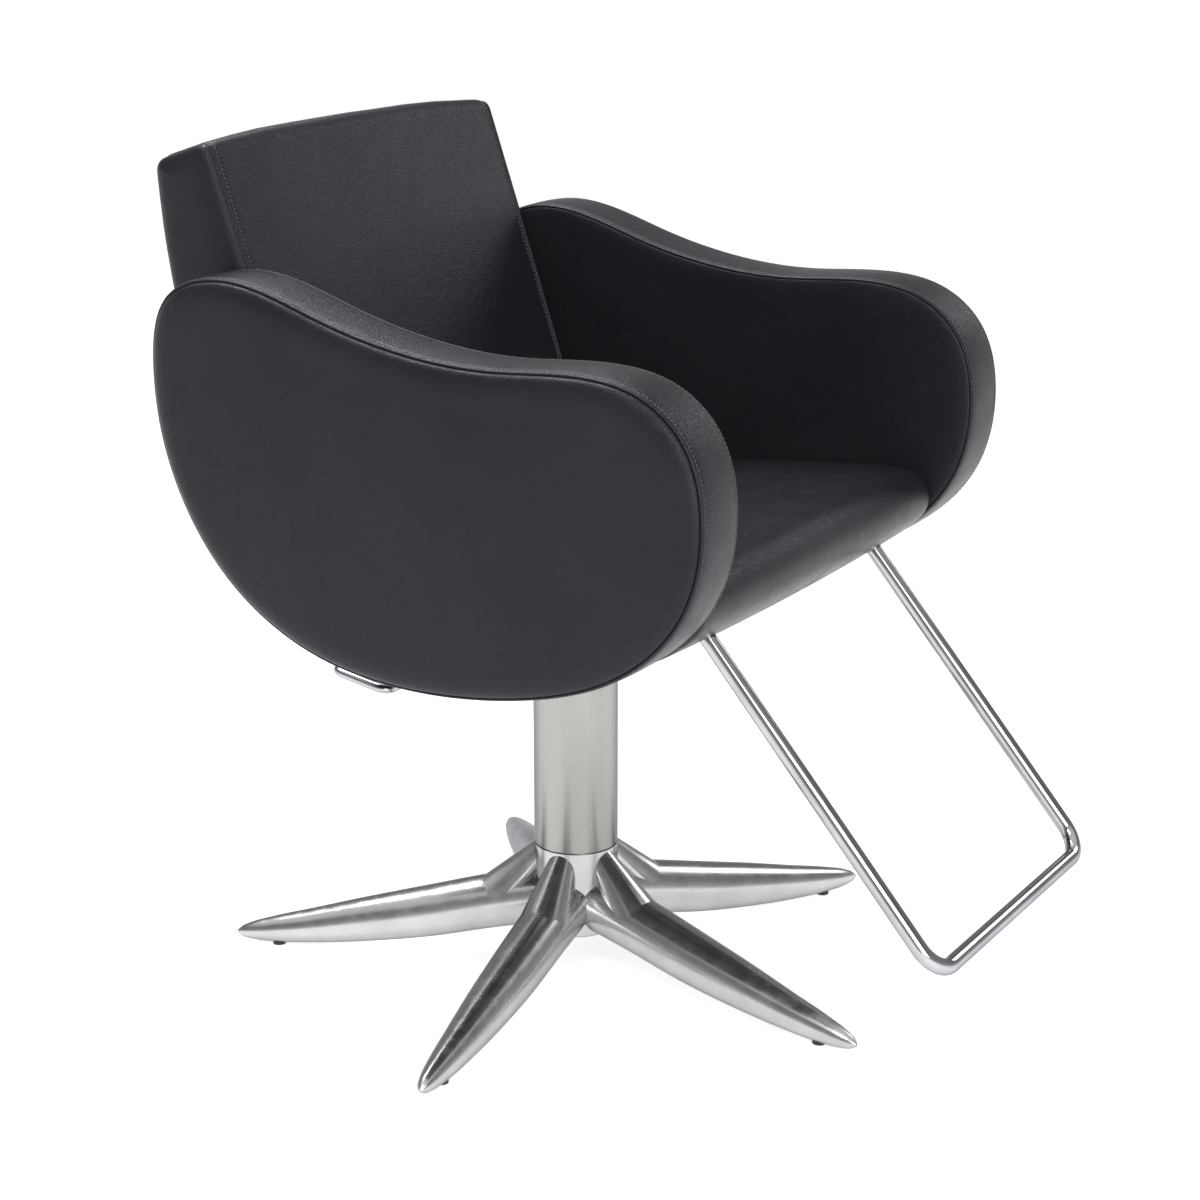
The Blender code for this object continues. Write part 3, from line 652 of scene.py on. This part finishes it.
def build_arm(side, sign):
    loop = closed_curve(ARM_OUTLINE, ARM_POINTS)
    normals = inward(loop)
    name = f"arm_outer_cover_{side}"
    outer = face_pad(name, loop, normals, sign, SEAM_X, direction=1.0, scale=1.0)
    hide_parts(f"arm_outer_pad_{side}")
    name = f"arm_inner_cover_{side}"
    inner = face_pad(
        name, loop, normals, sign, INNER_SEAM_X, direction=-1.0, scale=INNER_FACE_SCALE
    )
    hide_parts(f"arm_inner_pad_{side}")
    band = arm_band(f"arm_band_cover_{side}", loop, normals, sign)
    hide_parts(f"arm_band_{side}")
    for row, x in (("outer", SEAM_X - ROW_FROM_SEAM), ("inner", INNER_SEAM_X + ROW_FROM_SEAM)):
        path = ring_at(loop, normals, 0.0004, x) * np.array([sign, 1, 1]) + np.array(COLUMN)
        outward = flat_ring(-normals, 0.0)
        stitches(f"arm_stitches_{side}_{row}", path, outward)


def back_point(up, depth):
    """A (y, z) point of the backrest, up along its lean and back through its thickness."""
    y = BACK_FOOT[0] + up * math.sin(BACK_LEAN) + depth * math.cos(BACK_LEAN)
    z = BACK_FOOT[1] + up * math.cos(BACK_LEAN) - depth * math.sin(BACK_LEAN)
    return (y, z)


GUSSET_ROLL = 0.0120
SEAM_DIP = 0.0004
TOP_DROP = 0.8  # how much of the fall of the crowned top edge the outline takes
FALL_LENGTH = 0.075  # how far down the backrest that fall fades out
CORNER_RADIUS = 0.022
TOP_CROWN = 0.003
BACK_RINGS = (  # distance in from the gusset's seam and inset from the outline
    (0.0000, 0.0034),
    (-0.0003, 0.0022),
    (0.0003, 0.0013),
    (0.0013, 0.0006),
    (0.0024, 0.0004),
    (0.0032, 0.0006),
    (0.0040, 0.0009),
    (0.0048, 0.0005),
    (0.0062, 0.0002),
    (0.0100, 0.0000),
    (0.0160, -0.0003),
    (0.0260, -0.0008),
    (0.0450, -0.0016),
    (0.0800, -0.0028),
    (0.1300, -0.0038),
    (0.1800, -0.0042),
)
BACK_MIDDLE_INSET = -0.0044
GUSSET_RINGS = (  # inset from the outline, and how far across the rolled edge
    (0.0140, -0.30),
    (0.0036, -0.02),
    (0.0018, 0.03),
    (0.0007, 0.10),
    (0.0001, 0.20),
    (0.0004, 0.32),
    (0.0014, 0.46),
    (0.0030, 0.59),
    (0.0050, 0.70),
    (0.0074, 0.79),
    (0.0102, 0.87),
)


def back_outline():
    top = BACK_HEIGHT
    return rounded_loop(
        [
            (*back_point(0.002, 0.0), 0.010),
            (*back_point(0.2, -0.0012), 0.05),
            (*back_point(top, 0.0), 0.013),
            (*back_point(top, 0.064), 0.014),
            (0.3015, 0.7700, 0.02),
            (0.2957, 0.7200, 0.02),
            (0.2872, 0.6700, 0.02),
            (0.2754, 0.6200, 0.02),
            (0.2602, 0.5720, 0.02),
            (0.2428, 0.5300, 0.02),
            (0.2220, 0.4920, 0.02),
            (0.2000, 0.4620, 0.02),
            (0.1750, 0.4370, 0.02),
            (0.1470, 0.4150, 0.008),
            (*back_point(-0.010, 0.0399), 0.004),
            (*back_point(0.002, 0.0205), 0.004),
        ],
        BACK_POINTS,
    )


def drop_corner(points, amount):
    """Lowers the backrest's top by amount, fading out further down."""
    out = points.copy()
    up = (points[:, 0] - BACK_FOOT[0]) * math.sin(BACK_LEAN)
    up += (points[:, 1] - BACK_FOOT[1]) * math.cos(BACK_LEAN)
    share = np.clip((up - (BACK_HEIGHT - FALL_LENGTH)) / FALL_LENGTH, 0.0, 1.0)
    share = share * share * (3 - 2 * share)
    out[:, 0] -= share * amount * math.sin(BACK_LEAN)
    out[:, 1] -= share * amount * math.cos(BACK_LEAN)
    return out


def corner_fall(x):
    """How far the crowned top edge and its rounded corner have fallen at x."""
    reach = max(0.0, abs(x) - (SEAT_HALF - CORNER_RADIUS))
    share = max(0.0, abs(x) / SEAT_HALF - 0.35) / 0.65
    rounded = CORNER_RADIUS - math.sqrt(max(0.0, CORNER_RADIUS**2 - reach**2))
    return rounded + TOP_CROWN * share * share


def lowered(loop, x):
    """The backrest's outline as it is at x."""
    return drop_corner(loop, corner_fall(x) * TOP_DROP)


def build_backrest():
    """One panel over the front, top and back, with a gusset sewn in at each side."""
    loop = back_outline()
    seam = SEAT_HALF - GUSSET_ROLL - SEAM_DIP
    stations = [(seam - a, n) for a, n in BACK_RINGS]
    stations += [(0.0, BACK_MIDDLE_INSET)]
    stations += [(-x, n) for x, n in reversed(stations[:-1])]
    rings = []
    for x, inset in stations:
        shape = lowered(loop, x)
        rings.append(ring_at(shape, inward(shape), inset, x))
    points = np.vstack(rings)
    count = len(loop)
    sway = np.full(len(points), 0.0009)
    sway[: count * 6] = 0.00015
    sway[-count * 6 :] = 0.00015
    points = ripple(points, wave=0.09, height=sway, seed=5.2)
    faces = capped_faces(len(rings), count)
    cover = add_object(
        "backrest_cover", points + np.array(COLUMN), faces, LEATHER, "seat"
    )
    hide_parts("backrest_front_pad", "backrest_rear_pad")
    for side, sign in (("left", 1), ("right", -1)):
        build_gusset(side, sign, loop, seam)
        row = seam - BACK_ROW_FROM_SEAM
        shape = lowered(loop, row)
        normals = inward(shape)
        path = ring_at(shape, normals, 0.0007, row * sign) + np.array(COLUMN)
        stitches(f"backrest_stitches_{side}", path, flat_ring(-normals, 0.0))


def build_gusset(side, sign, loop, seam):
    """The backrest's side panel: its edge rolls round to the seam, its middle is gently crowned."""
    shape = lowered(loop, seam)
    normals = inward(shape)
    rings = [ring_at(shape, normals, n, seam + out * GUSSET_ROLL) for n, out in GUSSET_RINGS]
    spine = np.array([back_point(0.050, 0.050), back_point(BACK_HEIGHT - 0.030, 0.032)])
    along = spine[1] - spine[0]
    rim = shape + normals * GUSSET_RINGS[-1][0]
    share_along = np.clip((rim - spine[0]) @ along / (along @ along), 0.0, 1.0)
    target = spine[0] + share_along[:, None] * along
    start = GUSSET_RINGS[-1][1]
    for share in (0.12, 0.26, 0.42, 0.60, 0.80, 0.96):
        x = seam + GUSSET_ROLL * (start + (1.02 - start) * (1 - (1 - share) ** 3))
        rings.append(flat_ring(rim + (target - rim) * share, x))
    points = np.vstack(rings)
    points[:, 0] *= sign
    points += np.array(COLUMN)
    faces = capped_faces(len(rings), len(loop))
    name = f"backrest_gusset_{side}"
    gusset = add_object(name, points, faces, LEATHER, "seat")


SEAT_OUTLINE = (  # distance behind the column, height and corner radius
    (0.1150, 0.4520, 0.006),
    (-0.0460, 0.4670, 0.06),
    (-0.1850, 0.4795, 0.04),
    (-0.2250, 0.4822, 0.02),
    (-0.2470, 0.4792, 0.014),
    (-0.2595, 0.4695, 0.014),
    (-0.2650, 0.4560, 0.014),
    (-0.2625, 0.4420, 0.014),
    (-0.2535, 0.4300, 0.016),
    (-0.2385, 0.4170, 0.018),
    (-0.2222, 0.4060, 0.016),
    (-0.2050, 0.3982, 0.014),
    (-0.1895, 0.3952, 0.006),
    (-0.1812, 0.3952, 0.002),
    (-0.1812, 0.4090, 0.001),
    (0.0150, 0.4090, 0.001),
    (0.0150, 0.4147, 0.001),
    (0.1020, 0.4147, 0.002),
)
SEAT_ROLL = 0.011  # radius of the rolled edge along both sides
SEAT_TUCK = SEAT_ROLL * 0.92
SEAT_CROWN = 0.0036
CROWN_HALF = 0.222
NOSE_START = -0.10  # the nose is padded all round from here forwards
BOARD_TOP = 0.4155


def build_seat():
    """The seat's cover: crowned on top and round the nose, flat where it lies on its board."""
    loop = rounded_loop(SEAT_OUTLINE, SEAT_POINTS)
    normals = inward(loop)
    stations = [(SEAT_HALF, SEAT_TUCK)]
    for angle in (12, 26, 40, 54, 68, 80):
        a = math.radians(angle)
        stations.append((SEAT_HALF - SEAT_ROLL * (1 - math.cos(a)), SEAT_TUCK * (1 - math.sin(a))))
    for x in (0.216, 0.205, 0.190, 0.165, 0.130, 0.090, 0.045, 0.0):
        stations.append((x, -SEAT_CROWN * (1 - (x / CROWN_HALF) ** 2)))
    stations += [(-x, n) for x, n in reversed(stations[:-1])]
    rings = []
    soft = np.clip((NOSE_START - loop[:, 0]) / 0.05, 0.0, 1.0)
    upper = loop[:, 1] > BOARD_TOP
    for x, inset in stations:
        # The underside and the recess for the board take only a quarter of the crown.
        reach = inset * np.where(upper | (soft > 0.9), 1.0, 0.25)
        rings.append(flat_ring(loop + normals * reach[:, None], x))
    points = np.vstack(rings)
    sway = np.where(points[:, 2] > 0.42, 0.0011, 0.0)
    points = ripple(points, wave=0.10, height=sway, seed=2.4) + np.array(COLUMN)
    faces = capped_faces(len(rings), len(loop))
    seat = add_object("seat_cover", points, faces, LEATHER, "seat")
    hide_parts("seat_cushion")


# ------------------------------------------------------------------ metalwork
def spread_axis(stations, count):
    """More stations along a smooth curve through (reach, height, radius) rows."""
    rows = np.array(stations)
    at = np.concatenate([[0.0], np.cumsum(np.linalg.norm(np.diff(rows[:, :2], axis=0), axis=1))])
    slopes = np.gradient(rows, at, axis=0)
    made = []
    for s in np.linspace(0.0, at[-1], count):
        i = min(int(np.searchsorted(at, s, side="right")) - 1, len(at) - 2)
        h = at[i + 1] - at[i]
        t = (s - at[i]) / h
        made.append(
            rows[i] * (2 * t**3 - 3 * t**2 + 1)
            + slopes[i] * h * (t**3 - 2 * t**2 + t)
            + rows[i + 1] * (3 * t**2 - 2 * t**3)
            + slopes[i + 1] * h * (t**3 - t**2)
        )
    return np.array(made)


def swept(path, radii, sides, closed=False):
    """Points and faces of a round section swept along a path, its ends capped."""
    path = np.array(path, dtype=float)
    count = len(path)
    if closed:
        along = np.roll(path, -1, axis=0) - np.roll(path, 1, axis=0)
    else:
        along = np.gradient(path, axis=0)
    along /= np.linalg.norm(along, axis=1)[:, None]
    up = np.array([0.0, 0.0, 1.0])
    if abs(along[0] @ up) > 0.9:
        up = np.array([0.0, 1.0, 0.0])
    points = []
    side = np.cross(along[0], up)
    for k in range(count):
        side = side - along[k] * (side @ along[k])
        side /= np.linalg.norm(side)
        over = np.cross(side, along[k])
        for s in range(sides):
            a = 2 * math.pi * s / sides
            points.append(path[k] + radii[k] * (side * math.cos(a) + over * math.sin(a)))
    faces = ring_faces(count, sides, closed_rings=closed)
    if not closed:
        faces.append(tuple(range(sides)))
        faces.append(tuple(range(len(points) - sides, len(points))))
    return points, faces


def round_bar(name, path, radius, look, body, sides):
    shifted = [np.array(p) + np.array(COLUMN) for p in path]
    points, faces = swept(shifted, [radius] * len(path), sides)
    return add_object(name, points, faces, look, body, smooth_angle=40.0)


TURN_STEPS = 128


def turned(name, profile, look, body):
    """A closed (radius, height) profile turned about the column's axis."""
    points = []
    for r, z in profile:
        for s in range(TURN_STEPS):
            a = 2 * math.pi * s / TURN_STEPS
            points.append((COLUMN.x + r * math.cos(a), COLUMN.y + r * math.sin(a), z))
    faces = ring_faces(len(profile), TURN_STEPS, closed_rings=True)
    return add_object(name, points, faces, look, body, smooth_angle=35.0)


def combine(base, others, operation):
    """Applies booleans of the other objects to base, then removes them."""
    for other in others:
        step = base.modifiers.new("shape", "BOOLEAN")
        step.operation = operation
        step.object = other
        step.solver = "MANIFOLD"
    graph = bpy.context.evaluated_depsgraph_get()
    mesh = bpy.data.meshes.new_from_object(base.evaluated_get(graph))
    base.modifiers.clear()
    old = base.data
    base.data = mesh
    bpy.data.meshes.remove(old)
    for other in others:
        bpy.data.objects.remove(other, do_unlink=True)


def build_star():
    """Five tapering legs, each with a shoulder that climbs the hub to the foot of the column."""
    hub = [(ON_AXIS, HUB_SPIGOT_TOP), (HUB_RADIUS, HUB_SPIGOT_TOP)]
    hub += [(HUB_RADIUS, HUB_BOTTOM + 0.002), (HUB_RADIUS - 0.002, HUB_BOTTOM)]
    hub += [(ON_AXIS, HUB_BOTTOM)]
    star = turned("cast_base", hub, ALUMINIUM, "base")
    adders, cutters = [], []
    for i in range(LEG_COUNT):
        angle = math.radians(LEG_TURN_DEG + 360.0 / LEG_COUNT * i)
        turn = np.array([[math.cos(angle), math.sin(angle)]])
        for axis, count in ((LEG_AXIS, 56), (SHOULDER_AXIS, 2)):
            rows = spread_axis(axis, count) if count > 2 else np.array(axis)
            path = np.column_stack([rows[:, :1] * turn, rows[:, 1]]) + np.array(COLUMN)
            points, faces = swept(path, rows[:, 2], sides=72)
            adders.append(add_object(f"leg_shape_{len(adders)}", points, faces, ALUMINIUM, None))
        spot = nodes[f"foot_glide_{i + 1}"]
        low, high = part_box(spot.name)
        centre = np.array([(low[0] + high[0]) / 2, (low[1] + high[1]) / 2])
        pocket = [(*centre, -0.002), (*centre, high[2] + POCKET_ROOM)]
        points, faces = swept(pocket, [POCKET_RADIUS] * 2, sides=32)
        cutters.append(add_object(f"pocket_{i}", points, faces, ALUMINIUM, None))
    combine(star, adders, "UNION")
    collar = [(SPIGOT_RADIUS, 0.160), (0.075, 0.160), (0.075, HUB_TOP), (SPIGOT_RADIUS, HUB_TOP)]
    barrel, barrel_floor = BARREL_BORE
    stud, stud_floor = STUD_BORE
    bore = [(ON_AXIS, 0.170), (barrel, 0.170), (barrel, barrel_floor), (stud, barrel_floor)]
    bore += [(stud, stud_floor), (NUT_RECESS_RADIUS, stud_floor), (NUT_RECESS_RADIUS, 0.0)]
    bore += [(ON_AXIS, 0.0)]
    for profile in (collar, bore):
        cutters.append(turned("cut_shape", profile, ALUMINIUM, None))
    combine(star, cutters, "DIFFERENCE")
    bm = bmesh.new()
    bm.from_mesh(star.data)
    bmesh.ops.remove_doubles(bm, verts=bm.verts, dist=WELD_DISTANCE)
    bmesh.ops.dissolve_degenerate(bm, edges=bm.edges, dist=WELD_DISTANCE)
    bm.to_mesh(star.data)
    bm.free()
    star.data.shade_smooth()
    star.data.set_sharp_from_angle(angle=math.radians(24))
    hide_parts("star_base")


SLEEVE_PROFILE = (  # radius and height, as in the cap below
    (0.0397, 0.3215),
    (0.0405, 0.3220),
    (0.0410, 0.3215),
    (0.0410, 0.1240),
    (0.0407, 0.1230),
    (0.0403, 0.1226),
    (0.0397, 0.1226),
)
CAP_PROFILE = (
    (0.0247, 0.3258),
    (0.0252, 0.3262),
    (0.0400, 0.3262),
    (0.0407, 0.3258),
    (0.0410, 0.3250),
    (0.0410, 0.3226),
    (0.0391, 0.3226),
    (0.0391, 0.3085),
    (0.0346, 0.3085),
    (0.0346, 0.3224),
    (0.0247, 0.3224),
)


def build_column():
    made = turned("column_sleeve", SLEEVE_PROFILE, SATIN, "base")
    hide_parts("column_tube")
    made = turned("column_top_cap", CAP_PROFILE, PLASTIC, "base")
    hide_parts("column_cap")


def arc(centre, radius, first, last, plane, count):
    """Points of an arc about centre in the plane of two unit vectors."""
    u, v = plane
    made = []
    for a in np.radians(np.linspace(first, last, count)):
        made.append(centre + radius * (u * math.cos(a) + v * math.sin(a)))
    return made


def build_footrest():
    """A bent tube: down one side, round two corners and up the other."""
    slope = np.array([0.0, FOOT_TOP[0] - FOOT_BOTTOM[0], FOOT_TOP[1] - FOOT_BOTTOM[1]])
    slope /= np.linalg.norm(slope)
    across = np.array([1.0, 0.0, 0.0])
    low = np.array([0.0, *FOOT_BOTTOM])
    reach = FOOT_HALF - FOOT_BEND
    upper = [np.array([s * FOOT_HALF, *FOOT_TOP]) for s in (-1, 1)]
    bend_left = low - across * reach + slope * FOOT_BEND
    bend_right = low + across * reach + slope * FOOT_BEND
    path = list(np.linspace(upper[0], bend_left - across * FOOT_BEND, 12, endpoint=False))
    path += arc(bend_left, FOOT_BEND, 180, 270, (across, slope), 17)
    path += arc(bend_right, FOOT_BEND, 270, 360, (across, slope), 17)
    path += list(np.linspace(bend_right + across * FOOT_BEND, upper[1], 13))[1:]
    bar = round_bar("footrest_tube", path, FOOT_RADIUS, CHROME, "seat", sides=40)
    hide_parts("footrest_bar")


def build_lever():
    """The foot lever: an eye on the pivot, a bar bent down behind the column, and its stirrup."""
    y, z = LEVER_PIVOT
    level_start, level_end = LEVER_STRAIGHT
    half_eye, eye_radius = LEVER_EYE
    knee = np.array([0.0, LEVER_KNEE, z])
    heel = np.array([0.0, *LEVER_HEEL])
    drop = (heel - knee) / np.linalg.norm(heel - knee)
    start = np.array([0.0, level_end, z])
    end = knee + drop * LEVER_BEND
    path = [np.array([0.0, y, z]), np.array([0.0, level_start, z]), start]
    for t in np.linspace(0.15, 1.0, 9):
        path.append(start * (1 - t) ** 2 + knee * 2 * t * (1 - t) + end * t**2)
    path += list(np.linspace(path[-1], heel, 10))[1:]
    lever = round_bar("pedal_lever", path, LEVER_RADIUS, CHROME, "lever", sides=32)
    eye = np.array([[-half_eye, y, z], [half_eye, y, z]]) + np.array(COLUMN)
    points, faces = swept(eye, [eye_radius] * 2, sides=48)
    eye_shape = add_object("eye_shape", points, faces, CHROME, None)
    loop = []
    for i, here in enumerate(STIRRUP_CORNERS):
        here = np.array(here)
        before = np.array(STIRRUP_CORNERS[i - 1]) - here
        after = np.array(STIRRUP_CORNERS[(i + 1) % 4]) - here
        before = before / np.linalg.norm(before) * STIRRUP_CORNER
        after = after / np.linalg.norm(after) * STIRRUP_CORNER
        for t in np.linspace(0.0, 1.0, 9):
            x, back = here + before * (1 - t) ** 2 + after * t**2
            height = LEVER_HEEL[1] + STIRRUP_RISE * (back - LEVER_HEEL[0])
            loop.append(np.array([x, back, height]) + np.array(COLUMN))
    points, faces = swept(loop, [STIRRUP_RADIUS] * len(loop), sides=28, closed=True)
    stirrup = add_object("stirrup_shape", points, faces, CHROME, None)
    combine(lever, [eye_shape, stirrup], "UNION")
    half_bore, bore_radius = LEVER_BORE
    bore = np.array([[-half_bore, y, z], [half_bore, y, z]]) + np.array(COLUMN)
    points, faces = swept(bore, [bore_radius] * 2, sides=32)
    bore_shape = add_object("bore_shape", points, faces, CHROME, None)
    combine(lever, [bore_shape], "DIFFERENCE")
    lever.data.shade_smooth()
    lever.data.set_sharp_from_angle(angle=math.radians(40))
    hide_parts("pump_lever")


# ------------------------------------------------------------------ room, light and camera
FLOOR_HALF = 60.0
FLOOR_GLOW = 0.72
ROOM_LEVELS = (  # place from straight down (0) to straight up (1), and brightness
    (0.0, 1.0),
    (0.505, 1.0),
    (0.54, 0.52),
    (0.66, 0.30),
    (0.80, 0.20),
    (0.88, 0.75),
    (1.0, 0.9),
)
LENS = 78.0
CAMERA_FROM_COLUMN = (-2.0318, -1.2444, 1.0771)
CAMERA_ELEVATION = 16.58
CAMERA_AZIMUTH = -59.08


def build_stage():
    """A white floor that glows a little, so that it stays as white as the room."""
    corners = ((-1, -1), (1, -1), (1, 1), (-1, 1))
    points = [(x * FLOOR_HALF, y * FLOOR_HALF, 0.0) for x, y in corners]
    mesh = bpy.data.meshes.new("floor")
    mesh.from_pydata(points, [], [(0, 1, 2, 3)])
    floor = bpy.data.objects.new("floor", mesh)
    bpy.context.scene.collection.objects.link(floor)
    n = Nodes("pale_floor")
    n.set(
        Base_Color=n.between(n.noise(0.8, 2.0), (0.50, 0.50, 0.502), (0.53, 0.53, 0.532)),
        Roughness=0.9,
        Specular_IOR_Level=0.1,
        Emission_Color=(1.0, 1.0, 1.0, 1.0),
        Emission_Strength=FLOOR_GLOW,
    )
    mesh.materials.append(n.material)


def build_world():
    """A white studio, with a darker ring of ceiling between the walls and the overhead light."""
    world = bpy.data.worlds.new("studio")
    bpy.context.scene.world = world
    world.use_nodes = True
    tree = world.node_tree
    background = tree.nodes["Background"]
    coords = tree.nodes.new("ShaderNodeTexCoord")
    split = tree.nodes.new("ShaderNodeSeparateXYZ")
    ramp = tree.nodes.new("ShaderNodeValToRGB")
    height = tree.nodes.new("ShaderNodeMapRange")
    height.inputs["From Min"].default_value = -1.0
    tree.links.new(coords.outputs["Generated"], split.inputs["Vector"])
    tree.links.new(split.outputs["Z"], height.inputs["Value"])
    tree.links.new(height.outputs["Result"], ramp.inputs["Fac"])
    for i, (place, level) in enumerate(ROOM_LEVELS):
        element = ramp.color_ramp.elements[i] if i < 2 else ramp.color_ramp.elements.new(place)
        element.position = place
        element.color = (level, level, level * 1.01, 1.0)
    tree.links.new(ramp.outputs["Color"], background.inputs["Color"])
    background.inputs["Strength"].default_value = 1.0


def area_light(name, place, target, size, power):
    """A rectangular light at place, turned to target."""
    light = bpy.data.lights.new(name, "AREA")
    light.shape = "RECTANGLE"
    light.size, light.size_y = size
    light.energy = power
    obj = bpy.data.objects.new(name, light)
    bpy.context.scene.collection.objects.link(obj)
    obj.location = place
    obj.rotation_euler = (Vector(target) - Vector(place)).to_track_quat("-Z", "Y").to_euler()


def build_light():
    area_light("key", (-1.75, -2.5, 1.45), (0.0, 0.0, 0.6), size=(1.7, 1.9), power=66.0)
    area_light("top_left", (-2.0, -0.6, 2.9), (0.0, 0.0, 0.6), size=(1.3, 1.3), power=40.0)
    area_light("overhead", (0.6, 1.3, 2.9), (0.0, 0.0, 0.5), size=(1.8, 1.0), power=80.0)
    area_light("right", (2.8, -1.0, 2.1), (0.0, 0.0, 0.6), size=(1.2, 1.2), power=16.0)


def build_camera():
    """Seen from the sitter's right and a little above."""
    data = bpy.data.cameras.new("camera")
    data.sensor_width = 36.0
    data.lens = LENS
    data.clip_end = 100.0
    camera = bpy.data.objects.new("camera", data)
    bpy.context.scene.collection.objects.link(camera)
    camera.location = COLUMN + Vector(CAMERA_FROM_COLUMN)
    tilt = math.radians(90 - CAMERA_ELEVATION)
    camera.rotation_euler = (tilt, 0.0, math.radians(CAMERA_AZIMUTH))
    bpy.context.scene.camera = camera
    bpy.context.scene.view_settings.view_transform = "Standard"


repaint_frame()
for arm_side, arm_sign in (("left", 1), ("right", -1)):
    build_arm(arm_side, arm_sign)
build_backrest()
build_seat()
build_star()
build_column()
build_footrest()
build_lever()
build_stage()
build_world()
build_light()
build_camera()

bpy.context.view_layer.update()
